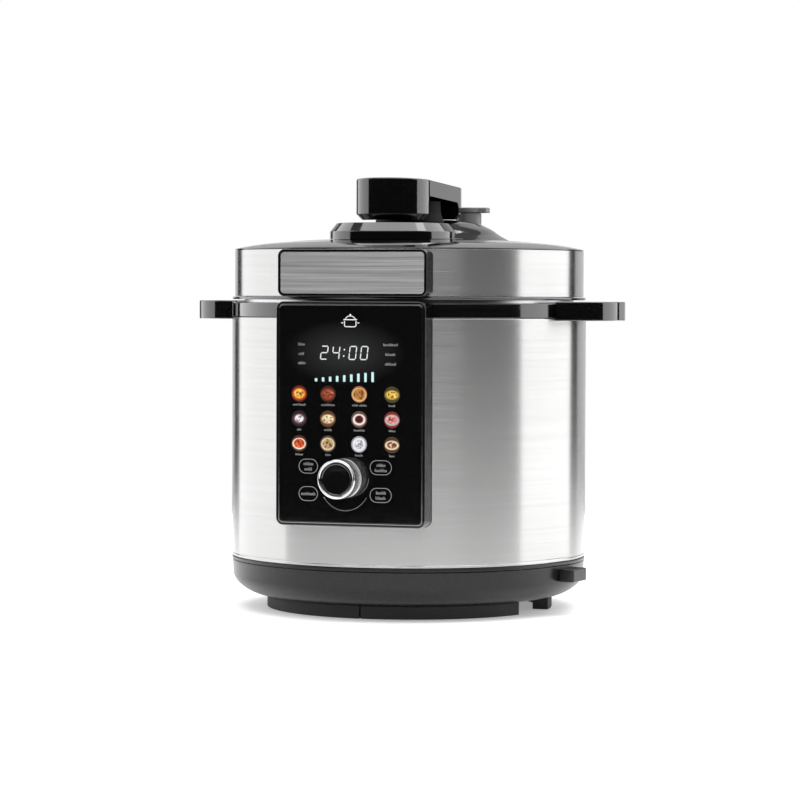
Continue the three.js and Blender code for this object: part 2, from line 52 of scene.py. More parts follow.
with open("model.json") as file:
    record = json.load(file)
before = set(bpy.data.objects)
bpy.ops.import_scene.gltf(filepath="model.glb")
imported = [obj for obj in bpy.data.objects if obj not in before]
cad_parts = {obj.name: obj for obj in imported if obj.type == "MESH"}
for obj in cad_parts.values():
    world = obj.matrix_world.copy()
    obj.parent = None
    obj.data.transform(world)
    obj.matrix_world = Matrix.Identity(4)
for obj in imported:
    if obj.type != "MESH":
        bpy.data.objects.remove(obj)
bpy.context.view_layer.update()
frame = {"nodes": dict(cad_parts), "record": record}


def span(node):
    """Lowest and highest corner of a CAD node."""
    lo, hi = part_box(node)
    return lo / MM, hi / MM


# ---------------------------------------------------------------- outlines
def arc(centre, radius, start, end, steps):
    """Points on an arc, angles in degrees, counter-clockwise from the first axis."""
    angles = [math.radians(start + (end - start) * k / steps) for k in range(steps + 1)]
    return [(centre[0] + radius * math.cos(a), centre[1] + radius * math.sin(a)) for a in angles]


def rounded_rect(w, h, r, centre=(0, 0), steps=10):
    x, y = w / 2 - r, h / 2 - r
    quarters = [((x, y), 0), ((-x, y), 90), ((-x, -y), 180), ((x, -y), 270)]
    points = []
    for (u, v), start in quarters:
        points += arc((centre[0] + u, centre[1] + v), r, start, start + 90, steps)
    return points


def rounded(corners, steps=5):
    """A closed line whose corners (x, y, radius) become arcs. A corner with no radius stays sharp."""
    line = []
    for i, corner in enumerate(corners):
        p = Vector(corner[:2])
        if len(corner) == 2:
            line.append(tuple(p))
            continue
        before = Vector(corners[i - 1][:2]) - p
        after = Vector(corners[(i + 1) % len(corners)][:2]) - p
        half = before.angle(after) / 2
        reach = min(corner[2] / math.tan(half), before.length / 2, after.length / 2)
        start, end = p + before.normalized() * reach, p + after.normalized() * reach
        middle = (before.normalized() + after.normalized()).normalized()
        centre = p + middle * (reach / math.cos(half))
        turn = (start - centre).angle_signed(end - centre)
        for k in range(steps + 1):
            spoke = start - centre
            spoke.rotate(Matrix.Rotation(-turn * k / steps, 2))
            line.append(tuple(centre + spoke))
    return line


def spline(points, steps=6):
    """A smooth line through the points."""
    line = []
    ends = [points[0], *points, points[-1]]
    for a, b, c, d in zip(ends, ends[1:], ends[2:], ends[3:]):
        for k in range(steps):
            t = k / steps
            line.append(tuple(
                0.5 * (2 * b[i] + (c[i] - a[i]) * t + (2 * a[i] - 5 * b[i] + 4 * c[i] - d[i]) * t * t
                       + (3 * b[i] - a[i] - 3 * c[i] + d[i]) * t ** 3)
                for i in (0, 1)))
    return [*line, tuple(points[-1])]


def bezier(a, b, c, d, steps=12):
    line = []
    for k in range(steps + 1):
        t = k / steps
        s = 1 - t
        line.append(tuple(s ** 3 * a[i] + 3 * s * s * t * b[i] + 3 * s * t * t * c[i] + t ** 3 * d[i]
                          for i in (0, 1)))
    return line


def sector(r0, r1, start, end, steps=24):
    return arc((0, 0), r1, start, end, steps) + arc((0, 0), r0, end, start, steps)


# ---------------------------------------------------------------- meshes
def mesh_object(name, vertices, faces):
    mesh = bpy.data.meshes.new(name)
    mesh.from_pydata([Vector(v) * MM for v in vertices], [], faces)
    piece = bpy.data.objects.new(name, mesh)
    bpy.context.scene.collection.objects.link(piece)
    edit(piece, lambda bm: bmesh.ops.recalc_face_normals(bm, faces=bm.faces))
    return piece


def edit(piece, change):
    bm = bmesh.new()
    bm.from_mesh(piece.data)
    change(bm)
    bm.to_mesh(piece.data)
    bm.free()


def loft(name, rings):
    """A skin over rings of equally many points, with a flat cap on the first and the last."""
    count = len(rings[0])
    vertices = [p for ring in rings for p in ring]
    faces = [list(range(count)), list(range(len(vertices) - count, len(vertices)))]
    for level in range(len(rings) - 1):
        low, high = level * count, (level + 1) * count
        faces += [(low + k, low + (k + 1) % count, high + (k + 1) % count, high + k) for k in range(count)]
    return mesh_object(name, vertices, faces)


PLANES = {
    "plan": lambda u, v, w: (u, v, w),
    "front": lambda u, v, w: (u, w, v),
    "side": lambda u, v, w: (w, u, v),
}


def prism(name, outline, low, high, plane="plan"):
    """An outline in plan (x, y), front (x, z) or side (y, z) view, given depth from low to high."""
    place = PLANES[plane]
    return loft(name, [[place(u, v, w) for u, v in outline] for w in (low, high)])


def box(low, high):
    (x0, y0, z0), (x1, y1, z1) = low, high
    return prism("tool", [(x0, y0), (x1, y0), (x1, y1), (x0, y1)], z0, z1)


def lathe(name, profile, centre=(0, 0), segments=ROUND, radius_at=None):
    """A profile of (radius, height) turned about a vertical axis. It closes on itself, or on the axis."""
    on_axis = profile[0][0] == 0 and profile[-1][0] == 0
    rings = profile[1:-1] if on_axis else profile
    angles = [TAU * k / segments for k in range(segments)]
    vertices = []
    for r, z in rings:
        radii = [radius_at(r, z, a) if radius_at else r for a in angles]
        vertices += [(centre[0] + q * math.sin(a), centre[1] - q * math.cos(a), z)
                     for q, a in zip(radii, angles)]
    last = len(rings) - 1
    faces = []
    for level in range(last if on_axis else last + 1):
        low, high = level * segments, ((level + 1) % len(rings)) * segments
        faces += [(low + k, low + (k + 1) % segments, high + (k + 1) % segments, high + k)
                  for k in range(segments)]
    if on_axis:
        for (_, z), level in ((profile[0], 0), (profile[-1], last)):
            pole = len(vertices)
            vertices.append((centre[0], centre[1], z))
            start = level * segments
            faces += [(start + k, start + (k + 1) % segments, pole) for k in range(segments)]
    return mesh_object(name, vertices, faces)


def disc(r, low, high, centre=(0, 0), segments=SMALL_ROUND):
    return lathe("tool", [(0, low), (r, low), (r, high), (0, high)], centre, segments)


def rod(r, low, high, x, z):
    """A round bar along Y, through (x, z)."""
    outline = arc((x, z), r, 0, 360 * (1 - 1 / SMALL_ROUND), SMALL_ROUND - 1)
    return prism("tool", outline, low, high, "front")


def settle(piece):
    """The piece's mesh with its modifiers applied."""
    graph = bpy.context.evaluated_depsgraph_get()
    made = bpy.data.meshes.new_from_object(piece.evaluated_get(graph))
    old, piece.data = piece.data, made
    piece.modifiers.clear()
    bpy.data.meshes.remove(old)
    return piece


def modify(piece, kind, **settings):
    modifier = piece.modifiers.new(kind, kind)
    for key, value in settings.items():
        setattr(modifier, key, value)
    return settle(piece)


def bevel(piece, width, segments=3, angle=40):
    return modify(piece, "BEVEL", width=width * MM, segments=segments, limit_method="ANGLE",
                  angle_limit=math.radians(angle), use_clamp_overlap=True)


def combine(piece, operation, tools):
    for tool in tools:
        modify(piece, "BOOLEAN", operation=operation, object=tool, solver="MANIFOLD")
        bpy.data.objects.remove(tool)
    return piece


def cut(piece, *tools):
    return combine(piece, "DIFFERENCE", tools)


def join(piece, *tools):
    return combine(piece, "UNION", tools)


def moved(piece, matrix):
    piece.data.transform(matrix)
    return piece


def softened(node, width):
    """A copy of a CAD node with its flat faces made whole and its edges rounded."""
    piece = bpy.data.objects.new(node + "_shell", frame["nodes"][node].data.copy())
    bpy.context.scene.collection.objects.link(piece)

    def clean(bm):
        bmesh.ops.remove_doubles(bm, verts=bm.verts, dist=1e-6)
        bmesh.ops.dissolve_limit(bm, angle_limit=math.radians(2), verts=bm.verts, edges=bm.edges)

    edit(piece, clean)
    return bevel(piece, width)


def dress(piece, body, slot, *nodes, look=None):
    """Shades the piece, gives it its finish and puts it on its body in place of CAD nodes."""
    edit(piece, lambda bm: bmesh.ops.recalc_face_normals(bm, faces=bm.faces))
    piece.data.shade_smooth()
    piece.data.set_sharp_from_angle(angle=math.radians(38))
    modify(piece, "WEIGHTED_NORMAL", keep_sharp=True)
    piece.data.materials.clear()
    piece.data.materials.append(look or LOOKS[slot])
    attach(piece, body)
    if nodes:
        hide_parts(*nodes)


# ---------------------------------------------------------------- finishes
class Look:
    """A Principled material being built. Noise scales are in features per metre along X, Y and Z."""

    def __init__(self, name, **sockets):
        self.material = bpy.data.materials.new(name)
        self.material.use_nodes = True
        self.tree = self.material.node_tree
        self.shader = self.tree.nodes["Principled BSDF"]
        for key, value in sockets.items():
            self.shader.inputs[key.replace("_", " ")].default_value = value

    def node(self, kind, links=(), **settings):
        made = self.tree.nodes.new("ShaderNode" + kind)
        for key, value in settings.items():
            if hasattr(made, key):
                setattr(made, key, value)
            else:
                made.inputs[key.replace("_", " ")].default_value = value
        for key, source in dict(links).items():
            self.tree.links.new(source, made.inputs[key])
        return made

    def place(self, scale):
        where = self.node("TexCoord").outputs["Object"]
        return self.node("Mapping", {"Vector": where}, Scale=scale).outputs["Vector"]

    def noise(self, scale, detail=2.0, roughness=0.5):
        scale = (scale,) * 3 if isinstance(scale, (int, float)) else scale
        return self.node("TexNoise", {"Vector": self.place(scale)}, Scale=1.0, Detail=detail,
                         Roughness=roughness).outputs["Fac"]

    def spread(self, source, low, high, at=(0.3, 0.7)):
        """The source's middle range spread over low to high."""
        made = self.node("MapRange", {"Value": source})
        for key, value in zip(("From Min", "From Max", "To Min", "To Max"), (*at, low, high)):
            made.inputs[key].default_value = value
        return made.outputs["Result"]

    def mix(self, factor, a, b):
        made = self.node("Mix", {"Factor": factor}, data_type="RGBA")
        for socket, colour in zip([s for s in made.inputs if s.type == "RGBA"], (a, b)):
            socket.default_value = (*colour, 1)
        return next(s for s in made.outputs if s.type == "RGBA")

    def bump(self, height, strength, distance):
        made = self.node("Bump", {"Height": height}, Strength=strength, Distance=distance * MM)
        return made.outputs["Normal"]

    def feed(self, **sources):
        for key, source in sources.items():
            self.tree.links.new(source, self.shader.inputs[key.replace("_", " ")])


def times(colour, share):
    return tuple(c * share for c in colour)


def gloss(look, colour, roughness, uneven):
    """A slightly uneven, polished surface with faint wiping marks."""
    look.feed(
        Base_Color=look.mix(look.noise(60, 3), colour, times(colour, 1.5)),
        Roughness=look.spread(look.noise((90, 90, 400), 5, 0.6), *roughness),
        Normal=look.bump(look.noise(14, 1), uneven, 0.05),
    )


def gloss_plastic(name, colour):
    look = Look(name, Specular_IOR_Level=0.7, Coat_Weight=0.5, Coat_Roughness=0.03)
    gloss(look, colour, (0.042, 0.119), 0.15)
    return look.material


def lit_glass(name, colour, centre, reach, glow):
    """Dark glass with the soft glow of a display behind it, about a point (x, z) of the front."""
    look = Look(name, Specular_IOR_Level=0.75, Coat_Weight=0.8, Coat_Roughness=0.03, Emission_Strength=glow)
    gloss(look, colour, (0.025, 0.07), 0.03)
    (x, z), (half_x, half_z) = centre, reach
    place = look.node("Mapping", {"Vector": look.node("TexCoord").outputs["Object"]},
                      Location=(-x / half_x, 0, -z / half_z), Scale=(1 / (half_x * MM), 0, 1 / (half_z * MM)))
    falling = look.node("TexGradient", {"Vector": place.outputs["Vector"]}, gradient_type="SPHERICAL")
    look.feed(Emission_Color=look.mix(falling.outputs["Fac"], (0, 0, 0), (1, 1, 1)))
    return look.material


def satin_plastic(name, colour, roughness=0.42, grain=1600, depth=0.02, gloss=0.5):
    """Moulded plastic with a fine spark-eroded grain."""
    look = Look(name, Specular_IOR_Level=gloss)
    fine = look.noise(grain, 3, 0.6)
    look.feed(
        Base_Color=look.mix(look.noise(35, 4), colour, times(colour, 1.25)),
        Roughness=look.spread(fine, roughness * 0.85, roughness * 1.15),
        Normal=look.bump(fine, 0.6, depth),
    )
    return look.material


def brushed_metal(name, dark, light, roughness=0.24, anisotropic=0.92, lines=5200, long=10):
    """Metal brushed in level lines: streaks in shade and gloss, and a highlight drawn out across them."""
    look = Look(name, Metallic=1.0, Anisotropic=anisotropic, Anisotropic_Rotation=0.25)
    streaks = look.noise((long, long, lines), 4, 0.65)
    broad = look.noise((5, 5, 420), 3, 0.6)
    both = look.node("Math", {0: streaks, 1: broad}, operation="ADD").outputs[0]
    look.feed(
        Base_Color=look.mix(look.spread(both, 0, 1, (0.7, 1.3)), dark, light),
        Roughness=look.spread(streaks, roughness * 0.85, roughness * 1.15),
        Normal=look.bump(streaks, 0.03, 0.01),
        Tangent=look.node("Tangent", direction_type="RADIAL", axis="Z").outputs["Tangent"],
    )
    return look.material


def pressed_metal(name, dark, light, roughness):
    """Drawn or cast metal: blotches, fine grain and level turning lines."""
    look = Look(name, Metallic=1.0)
    look.feed(
        Base_Color=look.mix(look.noise(30, 5, 0.6), dark, light),
        Roughness=look.spread(look.noise((12, 12, 900), 4), roughness * 0.85, roughness * 1.15),
        Normal=look.bump(look.noise(1400, 3, 0.7), 0.3, 0.015),
    )
    return look.material


def polished_metal(name, colour, low=0.07, high=0.16):
    """Bright metal with level wiping lines; its roughness runs from low to high."""
    look = Look(name, Metallic=1.0)
    look.feed(
        Base_Color=look.mix(look.noise(200, 3), colour, times(colour, 0.92)),
        Roughness=look.spread(look.noise((60, 60, 2500), 4), low, high),
    )
    return look.material


def silicone_rubber(name, colour):
    look = Look(name, Subsurface_Weight=0.25, Subsurface_Scale=0.002, Specular_IOR_Level=0.4)
    look.feed(
        Base_Color=look.mix(look.noise(40, 4), colour, times(colour, 0.88)),
        Roughness=look.spread(look.noise(500, 4), 0.42, 0.62),
        Normal=look.bump(look.noise(220, 3), 0.2, 0.03),
    )
    return look.material


def circuit_board(name):
    """Green solder mask over copper tracks."""
    look = Look(name, Roughness=0.35)
    cells = look.node("TexVoronoi", {"Vector": look.place((260, 260, 260))}, feature="DISTANCE_TO_EDGE",
                      distance="MANHATTAN", Scale=1.0).outputs["Distance"]
    tracks = look.spread(cells, 0, 1, (0.06, 0.09))
    look.feed(
        Base_Color=look.mix(tracks, (0.012, 0.09, 0.035), (0.02, 0.16, 0.07)),
        Normal=look.bump(tracks, 0.4, 0.03),
    )
    return look.material


def smoked_plastic(name):
    look = Look(name, IOR=1.49, Transmission_Weight=0.55)
    look.feed(
        Base_Color=look.mix(look.noise(30, 2), (0.09, 0.092, 0.1), (0.13, 0.133, 0.14)),
        Roughness=look.spread(look.noise(120, 3), 0.05, 0.14),
    )
    return look.material


def ink(name, colour, glow=0.0, uneven=0.15):
    """Print or a lit segment on the panel. On print, the glow is painted light that makes the ink brighter
    than the lamps do.
    """
    look = Look(name, Roughness=0.28, Emission_Strength=glow)
    shade = look.mix(look.noise(900, 3), colour, times(colour, 1 - uneven))
    look.feed(Base_Color=shade)
    if glow:
        look.feed(Emission_Color=shade)
    return look.material


LOOKS = {
    "gloss_black": gloss_plastic("gloss_black", (0.002, 0.002, 0.0022)),
    "satin_black": satin_plastic("satin_black", (0.004, 0.004, 0.0043), 0.28, gloss=0.36),
    "brushed_steel": brushed_metal("brushed_steel", (0.43, 0.43, 0.427), (0.47, 0.47, 0.467)),
    "polished_metal": polished_metal("polished_metal", (0.82, 0.82, 0.83)),
    "cast_aluminium": pressed_metal("cast_aluminium", (0.36, 0.37, 0.38), (0.46, 0.47, 0.48), 0.5),
    "pressed_aluminium": pressed_metal("pressed_aluminium", (0.56, 0.565, 0.57), (0.68, 0.685, 0.69), 0.3),
    "silicone": silicone_rubber("silicone", (0.72, 0.70, 0.65)),
    "rubber_feet": satin_plastic("rubber_feet", (0.016, 0.016, 0.017), 0.75, 900, 0.05),
    "circuit_board": circuit_board("circuit_board"),
    "grey_plastic": satin_plastic("grey_plastic", (0.2, 0.2, 0.205), 0.35),
    "smoked_plastic": smoked_plastic("smoked_plastic"),
}


# ---------------------------------------------------------------- base
def make_base():
    lo, hi = span("base_housing")
    r, low, high, wall, cover_r = hi.x, lo.z, hi.z, 2.8, 40
    flat_r = r - 25.8  # where the underside starts to rise
    bowl = bezier((flat_r, low), (flat_r + 11, low + 0.2), (r - 3, low + 7), (r - 0.7, low + 15))
    profile = [(cover_r, low), *bowl, *rounded([
        (r, high - 1), (r, high, 0.5), (r - wall, high, 0.5), (r - wall, high - 6)])[1:],
        (r - wall - 1, low + 15), (r - 14.6, low + 5.5), (flat_r, low + wall), (cover_r, low + wall)]
    housing = lathe("base_bowl", profile)
    slots = 8
    for i in range(slots):
        slot = prism("tool", rounded_rect(36, 5, 2.4, (70, 0)), low - 2, low + wall + 1)
        cut(housing, moved(slot, Matrix.Rotation((i + 0.5) * TAU / slots, 4, "Z")))
    dress(housing, "root", "satin_black", "base_housing")

    lo, hi = span("base_lip")
    lip = rounded([(hi.x - 3.2, lo.z, 0.4), (hi.x, lo.z, 0.6), (hi.x, hi.z, 0.9), (hi.x - 3.2, hi.z, 0.4)])
    dress(lathe("base_lip_ring", lip), "root", "satin_black", "base_lip")

    lo, hi = span("bottom_cover")
    r, low, high = hi.x, lo.z, hi.z
    cover = lathe("bottom_plate", [
        (0, low + 0.8), (10, low + 0.8), (11, low), (r - 4, low), *arc((r - 0.6, low + 0.6), 0.6, -90, 0, 4),
        (r, high), (0, high)], segments=SMALL_ROUND)
    dress(cover, "root", "satin_black", "bottom_cover")


def make_feet():
    """Arc-shaped rubber feet, each with two shallow grooves in its tread."""
    arcs = {
        "foot_front_left": (96, 108, -158, -91.6),
        "foot_front_right": (96, 108, -91, -22),
        "foot_rear_right": (98, 110, 2, 75),
        "foot_rear_left": (98, 110, 105, 178),
    }
    for node, (r0, r1, start, end) in arcs.items():
        low, high = (corner.z for corner in span(node))
        foot = bevel(prism(node + "_pad", sector(r0, r1, start, end, 40), low, high), 0.6, 3, 50)
        third = (r1 - r0) / 3
        for k in (1, 2):
            middle = r0 + k * third
            groove = sector(middle - 0.5, middle + 0.5, start + 2, end - 2, 40)
            cut(foot, prism("tool", groove, low - 1, low + 0.6))
        dress(foot, "root", "rubber_feet", node)


def make_accessory_lug():
    lo, hi = span("accessory_lug")
    azimuth, centre_y = 80, -133  # it is made at the front, then turned to the right
    lug = bevel(prism("base_side_lug", rounded_rect(26, 24, 3, (0, centre_y)), lo.z, hi.z), 1.0)
    lug = moved(lug, Matrix.Rotation(math.radians(azimuth), 4, "Z"))
    bowl_r = span("base_housing")[1].x
    cut(lug, disc(bowl_r + GAP, 0, 60, segments=ROUND))
    dress(lug, "root", "satin_black", "accessory_lug")


def make_mains_inlet():
    lo, hi = span("mains_inlet")
    face_y, mid_z, w, h, rim = hi.y, (lo.z + hi.z) / 2, hi.x - lo.x, hi.z - lo.z, 2
    shell_r = span("outer_shell")[1].x
    flange = bevel(prism("tool", rounded_rect(w, h, 2, (0, mid_z)), shell_r + GAP, face_y, "front"), 0.5)
    body = box((-w / 2 + rim, lo.y, lo.z + rim), (w / 2 - rim, shell_r + 1, hi.z - rim))
    inlet = join(flange, body)
    inlet.name = "inlet_socket"
    recess_y = face_y - 16
    outline = rounded([(-12, mid_z - 8.5, 1), (12, mid_z - 8.5, 1), (12, mid_z + 4, 1), (8, mid_z + 8.5, 1),
                       (-8, mid_z + 8.5, 1), (-12, mid_z + 4, 1)])
    cut(inlet, prism("tool", outline, recess_y, face_y + 1, "front"))
    dress(inlet, "root", "gloss_black", "mains_inlet")
    for i, (x, z) in enumerate([(-7, mid_z - 1.5), (7, mid_z - 1.5), (0, mid_z + 2.5)]):
        pin = prism(f"inlet_pin_{i + 1}", rounded_rect(2, 4, 0.4, (x, z)), recess_y - 1, face_y - 5, "front")
        dress(bevel(pin, 0.3), "root", "polished_metal")


# ---------------------------------------------------------------- drum
PANEL_CORNER_R = 5.5


def make_drum():
    lo, hi = span("outer_shell")
    r, low, high, inner_r, groove_r = hi.x, lo.z, hi.z, 134, hi.x - 0.35
    shell = lathe("drum_shell", rounded([
        (inner_r, low, 0.3), (r, low, 0.5), (r, low + 1.6, 0.2), (groove_r, low + 2.0, 0.2),
        (groove_r, low + 2.6, 0.2), (r, low + 3.0, 0.2), (r, high, 0.5), (inner_r, high, 0.3)]),
        segments=FINE_ROUND)
    panel_lo, panel_hi = span("panel_housing")
    inlet_lo, inlet_hi = span("mains_inlet")
    w, h, mid_z = panel_hi.x - panel_lo.x, panel_hi.z - panel_lo.z, (panel_lo.z + panel_hi.z) / 2
    around_panel = rounded_rect(w + 2 * GAP, h + 2 * GAP, PANEL_CORNER_R + GAP, (0, mid_z), 12)
    window = prism("tool", around_panel, -150, -100, "front")
    inside = 2 - GAP  # the inlet's flange covers the edge of its opening
    inlet = box((inlet_lo.x + inside, 100, inlet_lo.z + inside),
                (inlet_hi.x - inside, 150, inlet_hi.z - inside))
    dress(cut(shell, window, inlet), "root", "brushed_steel", "outer_shell")


def make_top_ring():
    lo, hi = span("top_ring")
    r, low, high, bore, ledge_r = hi.x, lo.z, hi.z, 128, 117.4
    ring = lathe("drum_top_ring", rounded([
        (ledge_r, low, 0.3), (r, low, 0.6), (r, high, 0.8), (bore, high, 1.0), (bore, low + 2.3, 0.4),
        (ledge_r, low + 2.3, 0.4)]))
    side = span("panel_housing")[1].x + GAP
    notch = cut(box((-side, -150, low - 5), (side, -100, high + 5)), disc(131, 200, 250, segments=ROUND))
    dress(cut(ring, notch), "root", "gloss_black", "top_ring")


def make_side_handles():
    shell_r = span("outer_shell")[1].x
    for side, turn in (("right", 0), ("left", math.pi)):
        node = "side_handle_" + side
        lo, hi = span(node)
        tip, half_width = max(abs(lo.x), abs(hi.x)), hi.y
        corner_r, wall, pocket_x, pocket_z = 38, 3.6, 139.5, hi.z - 4.8
        flat = half_width - corner_r

        def wing(r, root_x, middle=tip - corner_r, flat=flat):
            return [(root_x, -flat - r), *arc((middle, -flat), r, -90, 0, 24),
                    *arc((middle, flat), r, 0, 90, 24), (root_x, flat + r)]

        handle = bevel(prism(node + "_wing", wing(corner_r, 112), lo.z, hi.z), 0.8, 4)
        pocket = cut(bevel(prism("tool", wing(corner_r - wall, 100), lo.z - 8, pocket_z), 1.2, 3),
                     box((0, -80, 200), (pocket_x, 80, 250)))
        cut(handle, disc(shell_r + GAP, 200, 250, segments=FINE_ROUND), pocket)
        moved(handle, Matrix.Rotation(turn, 4, "Z"))
        dress(handle, "root", "gloss_black", node)


def add_lugs(ring, r0, r1, low, high, turned):
    """Six locking lugs on a ring, the first of them turned by a share of the pitch."""
    count, width = 6, 24
    for i in range(count):
        middle = (i + turned) * 360 / count
        lug = prism("tool", sector(r0, r1, middle - width / 2, middle + width / 2), low, high)
        join(ring, bevel(lug, 0.4, 2))


def make_well_and_pot():
    lo, hi = span("heating_well")
    low, high, bore, opening_r, rim_r = lo.z, hi.z, 115.2, 82, 118
    well = lathe("well_liner", rounded([
        (opening_r, low, 0.3), (bore + 1, low, 3), (bore + 1, high - 2, 0.5), (rim_r, high - 2, 0.5),
        (rim_r, high, 0.6), (bore, high, 0.8), (bore, low + 1.5, 2.4), (opening_r, low + 1.5, 0.3)]))
    add_lugs(well, rim_r - 1, hi.x, high - 2, high, 0)
    dress(well, "root", "pressed_aluminium", "heating_well")

    lo, hi = span("inner_pot")
    low, rim, rim_r = lo.z, hi.z, hi.x
    r, wall = rim_r - 5, 1.5
    pot = lathe("cooking_pot", rounded([
        (0, low), (r, low, 11), (r, rim - 1.5, 0.8), (rim_r, rim - 1.5, 0.6), (rim_r, rim, 0.7),
        (r, rim, 1.6), (r - wall, rim - 2, 0.8), (r - wall, low + 2, 9.5), (0, low + 2)], 8))
    dress(pot, "pot", "pressed_aluminium", "inner_pot")


# ---------------------------------------------------------------- control panel
def ring_plate(name, outer, inner, low, high):
    """A flat frame between two outlines of equally many points, standing on the panel's front."""
    rings = [[(x, y, z) for x, z in line]
             for line, y in ((outer, low), (outer, high), (inner, high), (inner, low))]
    count = len(outer)
    faces = []
    for level in range(4):
        a, b = level * count, ((level + 1) % 4) * count
        faces += [(a + k, a + (k + 1) % count, b + (k + 1) % count, b + k) for k in range(count)]
    return mesh_object(name, [p for ring in rings for p in ring], faces)


def make_panel():
    lo, hi = span("panel_housing")
    front, back, w, h = lo.y, hi.y, hi.x - lo.x, hi.z - lo.z
    mid_z, border, depth = (lo.z + hi.z) / 2, 1.5, 1.2
    dial_lo, dial_hi = span("dial_knob")
    dial_x, dial_z = (dial_lo.x + dial_hi.x) / 2, (dial_lo.z + dial_hi.z) / 2

    def inset(d):
        return rounded_rect(w - 2 * d, h - 2 * d, PANEL_CORNER_R - d, (0, mid_z), 12)

    before, behind = -150, -110  # Y of the cutters' ends, clear of the panel

    def shaft_hole():
        return rod(4.2, before, behind, dial_x, dial_z)

    housing = bevel(prism("panel_case", inset(0), front, back, "front"), 0.55, 3)
    board_room = box((lo.x + 2.5, -134.6, lo.z + 4), (hi.x - 2.5, behind, 216))
    under_ring = disc(131 + GAP, 219.5, 250, segments=ROUND)
    display_window = box((-23.5, before, 184.5), (15.5, behind, 207.5))
    cut(housing,
        prism("tool", inset(border), front - 1, front + depth + GAP, "front"),
        board_room, under_ring, display_window, shaft_hole())
    dress(housing, "root", "gloss_black", "panel_housing")

    trim_in = border + GAP
    trim = ring_plate("panel_trim_line", inset(trim_in), inset(trim_in + 0.9), front, front + depth)
    dress(bevel(trim, 0.2, 2), "root", "polished_metal", "panel_trim", look=TRIM_METAL)
    fascia = prism("panel_glass", inset(border + 2 * GAP + 0.9), front, front + depth, "front")
    dress(cut(bevel(fascia, 0.12, 2), shaft_hole()), "root", "gloss_black", "panel_fascia", look=FASCIA)


class Print:
    """Thin shapes on the panel's face, gathered into one mesh. A higher level lies over a lower one."""

    lift = 0.03

    def __init__(self, face_y):
        self.face_y = face_y
        self.vertices = []
        self.faces = []

    def depths(self, level):
        return self.face_y - 0.01 - self.lift * level, self.face_y - 0.01 - self.lift * (level + 1)

    def add(self, vertices, faces):
        start = len(self.vertices)
        self.vertices += vertices
        self.faces += [[start + i for i in face] for face in faces]

    def area(self, outline, level=0):
        count = len(outline)
        vertices = [(x, y, z) for y in self.depths(level) for x, z in outline]
        sides = [(k, (k + 1) % count, count + (k + 1) % count, count + k) for k in range(count)]
        self.add(vertices, [list(range(count)), list(range(count, 2 * count)), *sides])

    def line(self, points, width, closed=False):
        """A stripe of even width along the points."""
        points = [Vector(p) for p in points]
        count = len(points)
        left, right = [], []
        for i, p in enumerate(points):
            before = points[i - 1] if closed or i else p
            after = points[(i + 1) % count] if closed or i < count - 1 else p
            side = (after - before).normalized()
            side = Vector((-side.y, side.x)) * width / 2
            left.append(p + side)
            right.append(p - side)
        low, high = self.depths(0)
        vertices = [(p.x, y, p.y) for y in (low, high) for line in (left, right) for p in line]
        faces = []
        strips = ((0, 1), (3, 2), (2, 0), (1, 3))
        for k in range(count if closed else count - 1):
            n = (k + 1) % count
            faces += [(a * count + k, a * count + n, b * count + n, b * count + k) for a, b in strips]
        if not closed:
            faces += [(k, k + count, k + 3 * count, k + 2 * count) for k in (0, count - 1)]
        self.add(vertices, faces)

    def piece(self, name, look):
        made = mesh_object(name, self.vertices, self.faces)
        made.data.materials.append(look)
        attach(made, "root")


def linear(colour):
    """An sRGB colour, 0 to 255, as linear light."""
    return tuple((c / 255 / 12.92) if c < 11 else ((c / 255 + 0.055) / 1.055) ** 2.4 for c in colour)


def ellipse(centre, a, b, steps=28, turn=0.0):
    points = []
    for k in range(steps):
        u, v = a * math.cos(TAU * k / steps), b * math.sin(TAU * k / steps)
        points.append((centre[0] + u * math.cos(turn) - v * math.sin(turn),
                       centre[1] + u * math.sin(turn) + v * math.cos(turn)))
    return points


SLANT = 0.11  # of the clock's figures and its colon
# Bars lit for each figure: top, upper right, lower right, foot, lower left, upper left, middle.
SEGMENTS = {
    "0": (1, 1, 1, 1, 1, 1, 0),
    "2": (1, 1, 0, 1, 1, 0, 1),
    "4": (0, 1, 1, 0, 0, 1, 1),
}


def seven_segment(sheet, figure, centre_x, foot_z):
    """One slanted figure of a clock display."""
    w, h, stroke, gap = 5.0, 9.4, 0.82, 0.22
    corners = {"tl": (0, h), "tr": (w, h), "ml": (0, h / 2), "mr": (w, h / 2), "bl": (0, 0), "br": (w, 0)}
    ends = ("tl", "tr"), ("tr", "mr"), ("mr", "br"), ("bl", "br"), ("ml", "bl"), ("tl", "ml"), ("ml", "mr")
    for lit, (a, b) in zip(SEGMENTS[figure], ends):
        if not lit:
            continue
        p, q = Vector(corners[a]), Vector(corners[b])
        along = (q - p).normalized()
        side = Vector((-along.y, along.x)) * stroke / 2
        start, end, tip = p + along * gap, q - along * gap, along * stroke / 2
        outline = [start, start + tip + side, end - tip + side, end, end - tip - side, start + tip - side]
        sheet.area([(centre_x - w / 2 + v.x + SLANT * v.y, foot_z + v.y) for v in outline])


def words(sheet, centre, height, lengths, gap=0.7):
    """Rows of small ticks standing for a caption, centred on a point."""
    x = centre[0] - (sum(lengths) + gap * (len(lengths) - 1)) / 2
    foot, pitch, tick = centre[1] - height / 2, 0.86, 0.3
    for length in lengths:
        for k in range(round(length / pitch)):
            tall = height * (1 if (k * 5 + round(length * 7)) % 7 in (0, 3) else 0.68)
            sheet.area(rounded_rect(tick, tall, 0.12, (x + (k + 0.5) * pitch, foot + tall / 2), 2))
        x += length + gap


